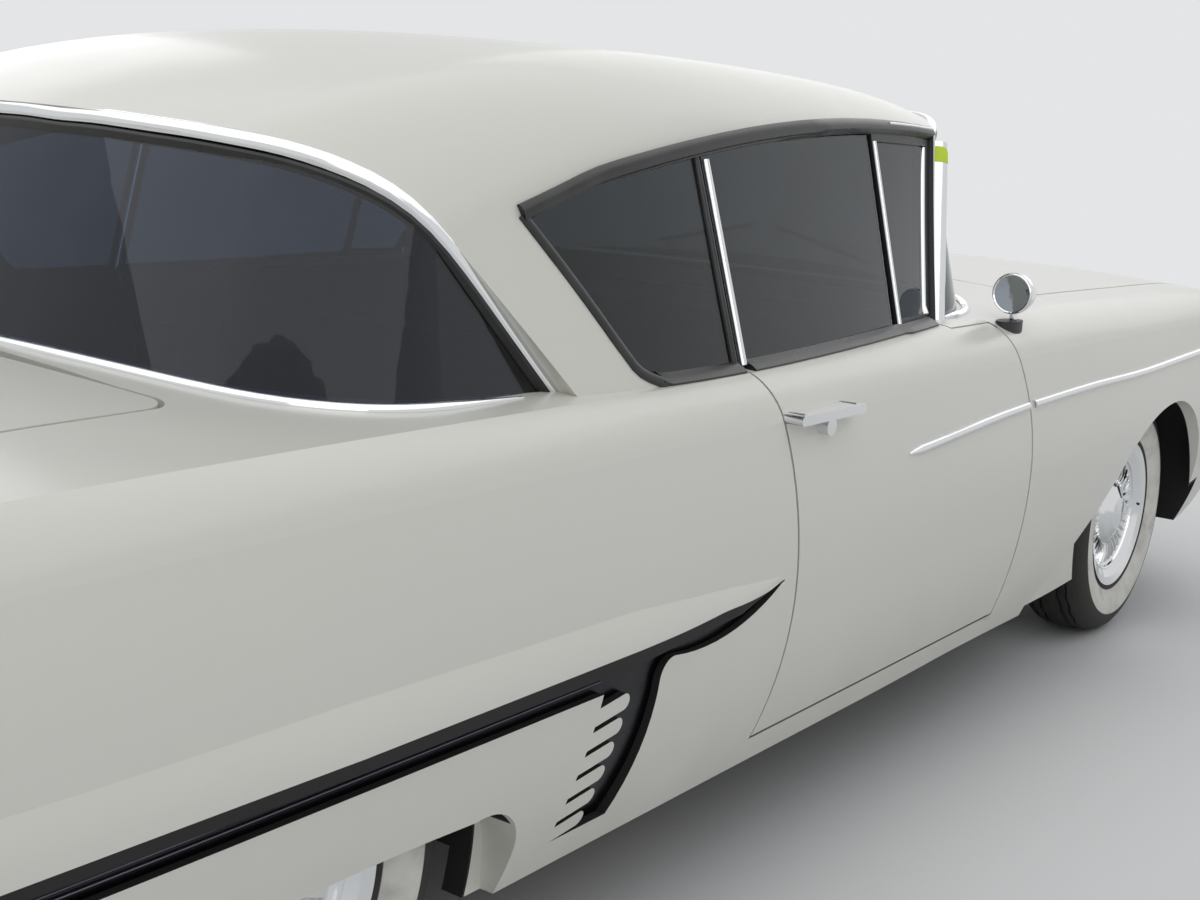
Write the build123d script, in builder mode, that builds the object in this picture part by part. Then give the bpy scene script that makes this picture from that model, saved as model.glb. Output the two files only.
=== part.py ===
from build123d import *
import os

# Full-size two-door hardtop car of the late 1950s, in millimetres.
# X points to the nose, Y to the car's left, Z up. The origin is on the floor, midway along the car.

# Overall sizes
half_width = 1016.0
wheelbase = 3289.0
front_axle_x = 1873.0
rear_axle_x = front_axle_x - wheelbase
track = 1549.0

# Wheels and tyres
tyre_radius = 352.0
tyre_width = 206.0
rim_radius = 196.0
rim_width = 152.0
wheel_y = track / 2
axle_z = tyre_radius
kingpin_y = 690.0
kingpin_radius = 14.0

# Panels, gaps and glass
skin = 22.0
panel_gap = 6.0
door_gap = 8.0
roof_wall = 34.0
glass_thickness = 6.0
glass_inset = 14.0
glass_gap = 8.0
pillar_depth = 44.0

# Body stations
nose_x = 2752.0
tail_x = -2700.0
hood_rear_x = 1370.0
hood_half_width = 720.0
cowl_half_width = 800.0
fender_rear_x = 786.0
door_front_x = fender_rear_x
dogleg_x = 580.0
door_inner_y = 850.0
door_bottom_z = 300.0
door_lean = 0.25
firewall_x = 1130.0
bay_front_x = 2620.0
face_x = 2650.0
lip_z = 864.0
bulkhead_x = -1030.0
shelf_z = 925.0
trunk_front_x = -1080.0
trunk_rear_x = -2640.0
trunk_half_width = 600.0
trunk_floor_z = 500.0
lid_front_x = -1440.0
lid_half_width = 680.0
lid_bottom_z = 620.0
floor_z = 330.0
floor_thickness = 30.0
tunnel_half = 105.0
tunnel_z = 430.0

# Wheel wells
well_inner_y = 460.0
rear_well_inner_y = 640.0
well_outer_y = 945.0
front_well_radius = 418.0
rear_well_radius = 392.0

# Lower body stations, from nose to tail. The side is widest at w_side, and the top arches to z_crown.
# x, z_sill, w_sill, z_side, w_side, z_shoulder, w_shoulder, z_top, w_top, z_crown
hull_stations = [
    (nose_x, 430, 880, 700, 944, 880, 905, 932, 800, 960),
    (2600, 330, 880, 690, 970, 892, 925, 962, 812, 993),
    (2200, 270, 900, 680, 984, 900, 930, 980, 815, 1013),
    (1600, 245, 905, 670, 990, 902, 932, 986, 812, 1025),
    (1000, 235, 905, 650, 990, 902, 932, 984, 808, 1028),
    (400, 235, 905, 625, 988, 888, 944, 977, 838, 1018),
    (-300, 235, 905, 610, 990, 880, 957, 960, 882, 1003),
    (-1000, 235, 905, 610, 992, 878, 956, 958, 886, 1003),
    (-1600, 240, 905, 610, 992, 874, 950, 956, 880, 1008),
    (-2200, 265, 900, 620, 984, 862, 936, 944, 866, 975),
    (tail_x, 330, 880, 640, 966, 846, 910, 915, 838, 930),
]

# Roof stations, from the windshield header to the backlight.
# x, w_foot, w_rail, z_rail, w_edge, z_edge, z_crown
roof_foot_z = 930.0
roof_stations = [
    (1080, 742, 648, 1322, 470, 1404, 1424),
    (760, 782, 700, 1384, 510, 1464, 1488),
    (300, 852, 724, 1388, 535, 1492, 1513),
    (-300, 886, 750, 1354, 540, 1498, 1518),
    (-700, 878, 762, 1266, 530, 1464, 1494),
    (-1000, 836, 742, 1200, 510, 1390, 1430),
    (-1300, 790, 690, 1130, 480, 1262, 1304),
]

# Rear fins: the ridge above the shoulder. x, y_ridge, base_width, z_base, z_ridge
fin_stations = [
    (-1900, 902, 60, 890, 920),
    (-2300, 897, 110, 870, 1000),
    (-2745, 884, 130, 820, 1082),
]

# Quarter spear: the raised form along the side. x, z_low, z_high, w_out
spear_stations = [
    (-338, 612, 622, 989),
    (-500, 586, 641, 1004),
    (-800, 575, 664, 1013),
    (-1400, 578, 676, half_width),
    (-2680, 584, 690, 990),
]
spear_root_y = 955.0
spear_lip = 9.0

# Scoop in the quarter panel: a recess under the spear that turns down ahead of six lobes of the panel
scoop_depth = 18.0
scoop_rear_x = -2660.0
scoop_band_z = 541.0
scoop_low_z = 292.0
lobe_count = 6
lobe_pitch = 38.5
lobe_height = 28.0
lobe_top_z = 501.0
lobe_front_x = -788.0
lobe_lean_x = -8.0
slot_length = 74.0


def hull_outline(row, inset):
    """Draw one body station, drawn in by the inset, as a closed face on its YZ plane."""
    x, z_sill, w_sill, z_side, w_side, z_shoulder, w_shoulder, z_top, w_top, z_crown = row
    corner = 0.7 * inset
    sill = (w_sill - inset, z_sill + inset)
    side = (w_side - inset, z_side)
    shoulder = (w_shoulder - corner, z_shoulder - corner)
    top = (w_top - 0.3 * inset, z_top - inset)
    with BuildSketch(Plane.YZ.offset(x)) as station:
        with BuildLine():
            Line((-sill[0], sill[1]), sill)
            lower = TangentArc(side, sill, tangent=(0, -1))
            upper = TangentArc(side, shoulder, tangent=(0, 1))
            round_over = TangentArc(shoulder, top, tangent=upper % 1)
            mirror((lower, upper, round_over), about=Plane.YZ)
            ThreePointArc(top, (0, z_crown - inset), (-top[0], top[1]))
        make_face()
    return station


def roof_outline(row, inset):
    """Draw one roof station with its tumblehome sides, drawn in by the inset."""
    x, w_foot, w_rail, z_rail, w_edge, z_edge, z_crown = row
    foot = (w_foot - inset, roof_foot_z - inset)
    rail = (w_rail - inset, z_rail - 0.4 * inset)
    edge = (w_edge - 0.2 * inset, z_edge - inset)
    with BuildSketch(Plane.YZ.offset(x)) as station:
        with BuildLine():
            Line((-foot[0], foot[1]), foot)
            wall = Line(foot, rail)
            crown = ThreePointArc(edge, (0, z_crown - inset), (-edge[0], edge[1]))
            corner = TangentArc(edge, rail, tangent=-(crown % 0))
            mirror((wall, corner), about=Plane.YZ)
        make_face()
    return station


def hull_volume(inset):
    """Loft the whole lower body through its stations, drawn in by the inset."""
    with BuildPart() as volume:
        for row in hull_stations:
            add(hull_outline(row, inset).sketch)
        loft()
    return volume.part


def roof_volume(inset):
    """Loft the whole upper body through its stations, drawn in by the inset."""
    with BuildPart() as volume:
        for row in roof_stations:
            add(roof_outline(row, inset).sketch)
        loft()
    return volume.part


def block(x_range, y_range, z_range):
    """Make a plain block between pairs of limits, for cutting and for plain pieces."""
    with BuildPart() as solid:
        with BuildSketch(Plane.XY.offset(z_range[0])):
            with Locations(((x_range[0] + x_range[1]) / 2, (y_range[0] + y_range[1]) / 2)):
                Rectangle(x_range[1] - x_range[0], y_range[1] - y_range[0])
        extrude(amount=z_range[1] - z_range[0])
    return solid.part


def across(outline, y_inner, y_outer, shift=(0, 0)):
    """Extrude an outline on the XZ plane between two distances to the right of the centreline."""
    with BuildPart() as solid:
        with BuildSketch(Plane.XZ.offset(y_inner)):
            with Locations(shift):
                add(outline)
        extrude(amount=y_outer - y_inner)
    return solid.part


# Windshield and backlight: the plan of the glass at its foot and at its header
# z, x_centre, x_bend, w_bend, x_side, w_side, x_back
windshield_plans = [
    (940, 1300, 1018, 664, 680, 786, 470),
    (1480, 968, 896, 536, 722, 668, 470),
]
backlight_plans = [
    (940, -1372, -1308, 606, -1056, 822, -760),
    (1400, -1178, -1130, 512, -950, 680, -760),
]


def glass_volume(plans, inset):
    """Loft the space behind a wrapped glass, drawn in by the inset."""
    with BuildPart() as volume:
        for z, x_centre, x_bend, w_bend, x_side, w_side, x_back in plans:
            with BuildSketch(Plane.XY.offset(z)):
                with BuildLine():
                    front = ThreePointArc((x_bend, -w_bend), (x_centre, 0), (x_bend, w_bend))
                    bend = TangentArc((x_bend, w_bend), (x_side, w_side), tangent=front % 1)
                    side = Line((x_side, w_side), (x_back, w_side))
                    mirror((bend, side), about=Plane.XZ)
                    Line((x_back, w_side), (x_back, -w_side))
                make_face()
                if inset:
                    offset(amount=-inset, kind=Kind.INTERSECTION)
        loft(ruled=True)
    return volume.part


# Outlines in the side view
pillar_foot_x = 596.0
pillar_top_x = 702.0
pillar_width = 52.0
rail_front_z = 1389.0
window_low_z = 900.0


def side_window():
    """Outline of the side window opening, from the windshield pillar to the tip behind the quarter glass."""
    with BuildSketch() as outline:
        with BuildLine():
            rail = ThreePointArc((pillar_top_x, rail_front_z), (-118, 1365), (-644, 1284))
            tip = Line(rail @ 1, (-822, 1228))
            rear = Line(tip @ 1, (-664, 1022))
            corner = TangentArc(rear @ 1, (-560, 960), tangent=rear % 1)
            Line(corner @ 1, (-540, window_low_z))
            Line((-540, window_low_z), (pillar_foot_x - 14, window_low_z))
            Line((pillar_foot_x - 14, window_low_z), (pillar_top_x, rail_front_z))
        make_face()
    return outline.sketch


def windshield_opening():
    """Everything ahead of the windshield pillar's rear edge and of the header, in the side view."""
    with BuildSketch() as outline:
        with BuildLine():
            header = ThreePointArc((712, 1389), (896, 1437), (974, 1455))
            Polyline(header @ 1, (1010, 1475), (1500, 1475), (1500, window_low_z),
                     (pillar_foot_x - 16, window_low_z), header @ 0)
        make_face()
    return outline.sketch


def windshield_pillar():
    """The leaning windshield post in the side view."""
    with BuildSketch() as outline:
        with BuildLine():
            Polyline((pillar_foot_x - 14, window_low_z), (pillar_foot_x - 14 + pillar_width, window_low_z),
                     (pillar_top_x + pillar_width, rail_front_z + 4), (pillar_top_x, rail_front_z + 2),
                     close=True)
        make_face()
    return outline.sketch


def backlight_opening():
    """Everything behind the rear roof pillar and the rear header, in the side view."""
    with BuildSketch() as outline:
        with BuildLine():
            pillar = Line((-748, window_low_z), (-984, 1200))
            bend = TangentArc(pillar @ 1, (-1100, 1292), tangent=pillar % 1)
            header = TangentArc(bend @ 1, (-1216, 1352), tangent=bend % 1)
            Polyline(header @ 1, (-1330, 1400), (-1600, 1400), (-1600, window_low_z), pillar @ 0)
        make_face()
    return outline.sketch


def front_arch():
    """Front wheel opening: a long slanted rear edge, and a round front one."""
    with BuildSketch() as outline:
        with BuildLine():
            slant = Line((1035, 262), (1455, 573))
            rise = TangentArc(slant @ 1, (1855, 703), tangent=slant % 1)
            fall = TangentArc(rise @ 1, (2216, 400), tangent=rise % 1)
            Polyline(fall @ 1, (2226, 150), (1035, 150), slant @ 0)
        make_face()
    return outline.sketch


def rear_arch():
    """Rear wheel opening: low and nearly flat on top."""
    reach = 416
    with BuildSketch() as outline:
        with BuildLine():
            lower_front = Line((rear_axle_x + reach, 150), (rear_axle_x + reach, 305))
            corner = TangentArc(lower_front @ 1, (rear_axle_x + reach - 122, 408), tangent=(0, 1))
            top = ThreePointArc(corner @ 1, (rear_axle_x, 418), (rear_axle_x - reach + 122, 408))
            rear = TangentArc((rear_axle_x - reach, 305), top @ 1, tangent=(0, 1))
            Polyline(rear @ 0, (rear_axle_x - reach, 150), lower_front @ 0)
        make_face()
    return outline.sketch


def scoop_outline(shrink=0):
    """The scoop in the side view: a band under the spear, and a mouth whose rear edge is cut into lobes."""
    lobe_low_x = lobe_front_x + lobe_count * lobe_lean_x - slot_length
    with BuildSketch() as outline:
        with BuildLine():
            under = Polyline([(x, z_low - shrink) for x, z_low, _, _ in spear_stations[:4]]
                             + [(scoop_rear_x + shrink, spear_stations[4][1] - shrink)])
            Polyline(under @ 1, (scoop_rear_x + shrink, scoop_band_z + shrink),
                     (lobe_front_x - slot_length + shrink, 534 + shrink), (lobe_low_x + shrink, scoop_low_z + shrink),
                     (-756 - shrink, scoop_low_z + shrink))
            mouth = ThreePointArc((-756 - shrink, scoop_low_z + shrink), (-723 - shrink, 390), (-708 - shrink, 518))
            turn = TangentArc(mouth @ 1, (-668, 551 + shrink), tangent=mouth % 1)
            ThreePointArc(turn @ 1, (-480, 557 + shrink), under @ 0)
        make_face()
        for i in range(lobe_count):
            reach = slot_length + 40 + shrink
            with Locations((lobe_front_x + i * lobe_lean_x + shrink - reach / 2, lobe_top_z - i * lobe_pitch)):
                SlotOverall(reach, lobe_height + 2 * shrink, rotation=7, mode=Mode.SUBTRACT)
    return outline.sketch


def well(axle_x, inner_y, radius):
    """The round space that a right-hand wheel stands in."""
    with BuildPart() as solid:
        with BuildSketch(Plane.XZ.offset(inner_y)):
            with Locations((axle_x, axle_z)):
                Circle(radius)
        extrude(amount=well_outer_y - inner_y)
    return solid.part


def door_space(grow):
    """The block that a right-hand door is cut with. Its rear edge leans forward towards the cabin."""
    with BuildPart() as solid:
        for depth in (700, 1040):
            lean = door_lean * (990 - depth) - grow
            with BuildSketch(Plane.XZ.offset(depth)):
                with BuildLine():
                    rear = ThreePointArc((-352 + lean, 961), (-289 + lean, 570), (-324 + lean, door_bottom_z - grow))
                    Polyline(rear @ 1, (dogleg_x + grow, door_bottom_z - grow), (dogleg_x + grow, 1040),
                             (-378 + lean, 1040), rear @ 0)
                make_face()
        loft(ruled=True)
        add(block((dogleg_x - 40, door_front_x - door_gap / 2 + 1.3 * grow),
                  (-1040, -door_inner_y + grow), (door_bottom_z - grow, 1040)))
    return solid.part


# The plain volumes that the panels are cut from
raw_hull = hull_volume(0)
lining = hull_volume(skin)
ledge = hull_volume(skin + panel_gap)

with BuildPart() as hull:
    add(raw_hull)
    for y_side in (-1, 1):
        for x, y_ridge, base_width, z_base, z_ridge in fin_stations:
            with BuildSketch(Plane.YZ.offset(x)):
                with BuildLine():
                    ridge = ThreePointArc((y_side * (y_ridge - 12), z_ridge - 12), (y_side * y_ridge, z_ridge),
                                          (y_side * (y_ridge + 12), z_ridge - 12))
                    Polyline(ridge @ 1, (y_side * (y_ridge + base_width * 0.4), z_base),
                             (y_side * (y_ridge - base_width), z_base), ridge @ 0)
                make_face()
        loft(ruled=True)
    for y_side in (-1, 1):
        for x, z_low, z_high, w_out in spear_stations:
            with BuildSketch(Plane.YZ.offset(x)):
                with BuildLine():
                    lip = Line((y_side * w_out, z_low), (y_side * w_out, z_low + spear_lip))
                    blend = TangentArc(lip @ 1, (y_side * (spear_root_y + 24), z_high), tangent=(0, 1))
                    Polyline(blend @ 1, (y_side * spear_root_y, z_high), (y_side * spear_root_y, z_low), lip @ 0)
                make_face()
        loft(ruled=True)

roof_outer = roof_volume(0)
roof_inner = roof_volume(roof_wall)

with BuildPart() as side_glass_layer:
    add(roof_volume(glass_inset))
    add(roof_volume(glass_inset + glass_thickness), mode=Mode.SUBTRACT)

with BuildPart() as windshield:
    add(glass_volume(windshield_plans, glass_inset))
    add(glass_volume(windshield_plans, glass_inset + glass_thickness), mode=Mode.SUBTRACT)
    add(across(windshield_opening(), -1100, 1100), mode=Mode.INTERSECT)
    add(block((pillar_foot_x, 1500), (-1000, 1000), (950, 1600)), mode=Mode.INTERSECT)

with BuildPart() as backlight:
    add(glass_volume(backlight_plans, glass_inset - 8))
    add(glass_volume(backlight_plans, glass_inset - 8 + glass_thickness), mode=Mode.SUBTRACT)
    add(across(backlight_opening(), -1100, 1100), mode=Mode.INTERSECT)
    add(block((-1600, -780), (-1000, 1000), (950, 1600)), mode=Mode.INTERSECT)

with BuildPart() as cabin_space:
    with BuildSketch(Plane.XY.offset(floor_z - floor_thickness - 100)):
        with BuildLine():
            front = ThreePointArc((975, -625), (1246, 0), (975, 625))
            bend = TangentArc((975, 625), (650, 736), tangent=front % 1)
            side = ThreePointArc((650, 736), (-100, 846), (-1000, 784))
            rear_bend = TangentArc((-1000, 784), (-1262, 572), tangent=(-1, -0.1))
            mirror((bend, side, rear_bend), about=Plane.XZ)
            ThreePointArc((-1262, -572), (-1322, 0), (-1262, 572))
        make_face()
    extrude(amount=900)
    add(block((-1400, bulkhead_x), (-900, 900), (0, shelf_z)), mode=Mode.SUBTRACT)
    add(block((firewall_x, 1400), (-900, 900), (0, shelf_z)), mode=Mode.SUBTRACT)

with BuildPart() as roof_shell:
    add(roof_outer)
    add(roof_inner, mode=Mode.SUBTRACT)
    add(across(side_window(), -1100, 1100), mode=Mode.SUBTRACT)
    add(across(windshield_opening(), -1100, 1100), mode=Mode.SUBTRACT)
    add(across(backlight_opening(), -1100, 1100), mode=Mode.SUBTRACT)

with BuildPart() as windshield_posts:
    add(glass_volume(windshield_plans, 0))
    add(glass_volume(windshield_plans, pillar_depth), mode=Mode.SUBTRACT)
    add(across(windshield_pillar(), -1100, 1100), mode=Mode.INTERSECT)

right_door_opening = door_space(panel_gap)
right_wells = [well(front_axle_x, well_inner_y, front_well_radius),
               well(rear_axle_x, rear_well_inner_y, rear_well_radius)]
right_arches = [across(front_arch(), 880, 1100), across(rear_arch(), 880, 1100)]

fender_x = fender_rear_x + door_gap / 2
with BuildPart() as right_fender_space:
    add(block((fender_x, 3000), (-1100, -cowl_half_width), (0, 1300)))
    add(block((hood_rear_x - panel_gap, 3000), (-1100, -hood_half_width - panel_gap), (0, 1300)))
grille_opening = block((face_x, 3000), (-936, 936), (380, lip_z))
hood_zone = block((hood_rear_x, 3000), (-hood_half_width, hood_half_width), (800, 1300))
hood_pocket = block((hood_rear_x - panel_gap, 3000), (-hood_half_width - panel_gap, hood_half_width + panel_gap),
                    (lip_z - panel_gap, 1300))


def lid_space(grow):
    """The block that the trunk lid is cut with: its front edge follows the foot of the backlight."""
    with BuildPart() as solid:
        with BuildSketch(Plane.XY.offset(lid_bottom_z - grow)):
            with BuildLine():
                side = Line((-3000, lid_half_width + 20 + grow), (-1450 + grow, lid_half_width - 20 + grow))
                corner = TangentArc(side @ 1, (-1404 + grow, lid_half_width - 70), tangent=side % 1)
                mirror((side, corner), about=Plane.XZ)
                ThreePointArc((-1404 + grow, 70 - lid_half_width), (lid_front_x + grow, 0),
                              (-1404 + grow, lid_half_width - 70))
                Line((-3000, -lid_half_width - 20 - grow), (-3000, lid_half_width + 20 + grow))
            make_face()
        extrude(amount=700)
    return solid.part


def layer_between(volume, x_range):
    """The part of an inner volume that lies between two distances along the car."""
    with BuildPart() as solid:
        add(volume)
        add(block(x_range, (-1000, 1000), (0, 1300)), mode=Mode.INTERSECT)
    return solid.part


end_wall = 46.0
with BuildPart() as trunk_lid:
    add(hull.part)
    add(lid_space(0), mode=Mode.INTERSECT)
    add(layer_between(lining, (tail_x + end_wall, 0)), mode=Mode.SUBTRACT)

with BuildPart() as hood:
    add(hull.part)
    add(hood_zone, mode=Mode.INTERSECT)
    add(grille_opening, mode=Mode.SUBTRACT)
    add(layer_between(lining, (0, nose_x - end_wall)), mode=Mode.SUBTRACT)

with BuildPart() as lid_pocket:
    add(lid_space(panel_gap))
    add(layer_between(ledge, (tail_x + end_wall + panel_gap, 0)), mode=Mode.SUBTRACT)

with BuildPart() as hood_cut:
    add(hood_pocket)
    add(layer_between(ledge, (0, face_x)), mode=Mode.SUBTRACT)

glass_line_x = -322.0
vent_bar_x = 382.0
window_frame = across(side_window(), 600, 1000, (-glass_gap, -glass_gap))

with BuildPart() as quarter_glass:
    add(side_glass_layer.part)
    add(across(side_window(), 600, 1000, (-10, 8)), mode=Mode.INTERSECT)
    add(block((-900, glass_line_x - glass_gap), (-1000, 0), (935, 1500)), mode=Mode.INTERSECT)

scoop_floor = hull_volume(scoop_depth)
with BuildPart() as scoop_recess:
    add(across(scoop_outline(), 880, 1100))
    add(scoop_floor, mode=Mode.SUBTRACT)

with BuildPart() as body_shell:
    add(hull.part)
    add(right_fender_space.part, mode=Mode.SUBTRACT)
    add(mirror(right_fender_space.part, about=Plane.XZ), mode=Mode.SUBTRACT)
    add(grille_opening, mode=Mode.SUBTRACT)
    add(lid_pocket.part, mode=Mode.SUBTRACT)
    add(hood_cut.part, mode=Mode.SUBTRACT)
    add(block((firewall_x + 25, bay_front_x), (-hood_half_width + 14, hood_half_width - 14), (0, 885)),
        mode=Mode.SUBTRACT)
    add(block((hood_rear_x + panel_gap, bay_front_x), (-hood_half_width + 14, hood_half_width - 14), (800, 1200)),
        mode=Mode.SUBTRACT)
    add(block((bay_front_x, 3000), (-1000, 1000), (0, 470)), mode=Mode.SUBTRACT)
    add(block((trunk_rear_x, trunk_front_x), (-trunk_half_width, trunk_half_width), (trunk_floor_z, 900)),
        mode=Mode.SUBTRACT)
    add(block((trunk_rear_x, -1405), (-trunk_half_width, trunk_half_width), (880, 1200)), mode=Mode.SUBTRACT)
    add(block((trunk_rear_x - 200, firewall_x + 40), (-840, 840), (0, floor_z - floor_thickness)),
        mode=Mode.SUBTRACT)
    add(block((-3000, bulkhead_x), (-840, 840), (0, trunk_floor_z - floor_thickness)), mode=Mode.SUBTRACT)
    add(block((firewall_x - 10, firewall_x + 40), (-tunnel_half, tunnel_half), (0, tunnel_z)), mode=Mode.SUBTRACT)
    add(roof_shell.part)
    add(windshield_posts.part)
    add(cabin_space.part, mode=Mode.SUBTRACT)
    for mould in (right_door_opening, *right_wells, *right_arches):
        add(mould, mode=Mode.SUBTRACT)
        add(mirror(mould, about=Plane.XZ), mode=Mode.SUBTRACT)
    add(roof_shell.part)
    add(windshield_posts.part)
    for pane in (windshield.part, backlight.part, quarter_glass.part, mirror(quarter_glass.part, about=Plane.XZ)):
        add(pane, mode=Mode.SUBTRACT)
    add(scoop_recess.part, mode=Mode.SUBTRACT)
    add(mirror(scoop_recess.part, about=Plane.XZ), mode=Mode.SUBTRACT)

with BuildPart() as front_fender:
    add(hull.part)
    add(right_fender_space.part, mode=Mode.INTERSECT)
    add(grille_opening, mode=Mode.SUBTRACT)
    for mould in (*right_wells, *right_arches):
        add(mould, mode=Mode.SUBTRACT)


with BuildPart() as door_glass:
    add(side_glass_layer.part)
    add(window_frame, mode=Mode.INTERSECT)
    add(block((glass_line_x, vent_bar_x - 4), (-1000, 0), (920, 1500)), mode=Mode.INTERSECT)
    add(block((glass_line_x - 10, glass_line_x + 18), (-1000, 0), (900, 962)), mode=Mode.SUBTRACT)

with BuildPart() as vent_panes:
    with BuildSketch(Plane.XZ.offset(600)):
        with BuildLine():
            Polyline((vent_bar_x + 10, 1000), (572, 1000), (666, 1362), (vent_bar_x + 10, 1367), close=True)
        make_face()
    extrude(amount=400)
    add(roof_volume(glass_inset), mode=Mode.SUBTRACT)

with BuildPart() as vent_window:
    add(roof_volume(glass_inset - 5))
    add(roof_volume(glass_inset + 11), mode=Mode.SUBTRACT)
    add(window_frame, mode=Mode.INTERSECT)
    add(block((vent_bar_x - 4, 760), (-1000, 0), (950, 1500)), mode=Mode.INTERSECT)
    add(block((dogleg_x - 6, 760), (-1000, 0), (900, 1000)), mode=Mode.SUBTRACT)
    add(vent_panes.part, mode=Mode.SUBTRACT)

with BuildPart() as door:
    add(hull.part)
    add(door_space(0), mode=Mode.INTERSECT)
    add(cabin_space.part, mode=Mode.SUBTRACT)
    add(door_glass.part, mode=Mode.SUBTRACT)
    add(vent_window.part, mode=Mode.SUBTRACT)


def wheel_pair(name, axle_x):
    """Names and places of the two wheels on one axle."""
    return ((f"{name}_left", axle_x, 1), (f"{name}_right", axle_x, -1))


wheel_places = (*wheel_pair("front", front_axle_x), *wheel_pair("rear", rear_axle_x))
tyres, wheels = {}, {}
for name, axle_x, side in wheel_places:
    axle = Axis((axle_x, 0, axle_z), (0, 1, 0))
    with BuildPart() as tyre:
        with BuildSketch(Plane.YZ.offset(axle_x)):
            with BuildLine():
                y_mid, half = side * wheel_y, tyre_width / 2
                bead, rim = rim_width / 2, axle_z + rim_radius
                shoulder = axle_z + tyre_radius - 18
                lip = rim + 17
                wall = axle_z + 0.78 * tyre_radius
                Polyline((y_mid - bead, lip), (y_mid - bead, rim), (y_mid + bead, rim), (y_mid + bead, lip))
                ThreePointArc((y_mid + bead, lip), (y_mid + half, wall), (y_mid + half - 22, shoulder))
                ThreePointArc((y_mid - bead, lip), (y_mid - half, wall), (y_mid - half + 22, shoulder))
                ThreePointArc((y_mid + half - 22, shoulder), (y_mid, axle_z + tyre_radius),
                              (y_mid - half + 22, shoulder))
            make_face()
        revolve(axis=axle)
    tyres[name] = tyre
    with BuildPart() as wheel:
        with BuildSketch(Plane.YZ.offset(axle_x)):
            # outward distance from the wheel's middle, radius
            section = [
                (-52, 20.6), (-52, 150), (-12, 150), (-12, 172), (-70, 178), (-76, rim_radius),
                (-84, rim_radius), (-84, rim_radius + 14), (-77, rim_radius + 14), (-77, rim_radius - 0.4),
                (77, rim_radius - 0.4), (77, rim_radius + 14), (86, rim_radius + 14), (80, rim_radius - 8),
                (58, 150), (54, 92), (66, 78), (80, 46), (86, 0), (34, 0), (34, 20.6),
            ]
            with BuildLine():
                Polyline([(side * (wheel_y + out), axle_z + radius) for out, radius in section], close=True)
            make_face()
        revolve(axis=axle)
    wheels[name] = wheel

knuckles = {}
for side_name, side in (("left", 1), ("right", -1)):
    with BuildPart() as knuckle:
        with BuildSketch(Plane.XY.offset(axle_z - 78)):
            with Locations((front_axle_x, side * kingpin_y)):
                RectangleRounded(70, 46, 12)
                Circle(kingpin_radius + 0.6, mode=Mode.SUBTRACT)
        extrude(amount=160)
        with BuildSketch(Plane.XZ.offset(-side * (kingpin_y + 20))):
            with Locations((front_axle_x, axle_z)):
                Circle(20)
        extrude(amount=-side * (wheel_y + 30 - kingpin_y - 20))
    knuckles[side_name] = knuckle

rail_y = 395.0
rail_half = 40.0
frame_z = 190.0
frame_depth = 100.0
kick_z = trunk_floor_z - floor_thickness - 62

with BuildPart() as front_suspension:
    for y_side in (-1, 1):
        for z_arm, half_span in ((axle_z - 104, 110), (axle_z + 84, 60)):
            with BuildSketch(Plane.XY.offset(z_arm)):
                with BuildLine():
                    y_root = y_side * (rail_y + rail_half)
                    y_tip = y_side * (kingpin_y + kingpin_radius)
                    Polyline((front_axle_x - half_span, y_root), (front_axle_x + half_span, y_root),
                             (front_axle_x + 26, y_tip), (front_axle_x - 26, y_tip), close=True)
                make_face()
            extrude(amount=24)
        with Locations((front_axle_x, y_side * 560, axle_z - 4)):
            Cylinder(58, 170)
        with Locations((front_axle_x, y_side * kingpin_y, axle_z)):
            Cylinder(kingpin_radius, 180)
        add(block((front_axle_x - 60, front_axle_x + 60),
                  (y_side * (rail_y + rail_half / 2) - 22, y_side * (rail_y + rail_half / 2) + 22),
                  (frame_z + frame_depth, 470)))

with BuildPart() as chassis_frame:
    with BuildSketch(Plane.XY.offset(frame_z)):
        with BuildLine():
            for y_side in (-1, 1):
                Polyline((2560, y_side * rail_y), (1160, y_side * rail_y), (420, y_side * 95),
                         (-180, y_side * 95), (-1060, y_side * 480))
        trace(line_width=2 * rail_half)
        with Locations((2540, 0)):
            Rectangle(90, 2 * rail_y + 2 * rail_half)
        with Locations((-1070, 0)):
            Rectangle(60, 2 * 480 + 2 * rail_half)
        with Locations((120, 0)):
            Rectangle(600, 220)
        with Locations((front_axle_x, 0)):
            Rectangle(160, 2 * rail_y)
    extrude(amount=frame_depth)
    for y_side in (-1, 1):
        rail_limits = (y_side * 480 - rail_half, y_side * 480 + rail_half)
        add(block((-1100, bulkhead_x - 10), rail_limits, (frame_z, kick_z + 62)))
        add(block((-2600, bulkhead_x - 10), rail_limits, (kick_z, kick_z + 62)))
    add(block((-2520, -2440), (-480, 480), (kick_z, kick_z + 62)))

with BuildPart() as floor_pan:
    add(cabin_space.part)
    add(block((-1400, 1400), (-900, 900), (floor_z - floor_thickness, floor_z)), mode=Mode.INTERSECT)
    add(block((bulkhead_x, firewall_x + 25), (-tunnel_half, tunnel_half), (floor_z - 10, tunnel_z)))
    add(block((bulkhead_x, firewall_x + 25), (20 - tunnel_half, tunnel_half - 20), (0, tunnel_z - 20)),
        mode=Mode.SUBTRACT)

engine_rear_x = 1240.0
with BuildPart() as engine_block:
    add(block((engine_rear_x, 1960), (-265, 265), (frame_z + frame_depth, 800)))

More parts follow.
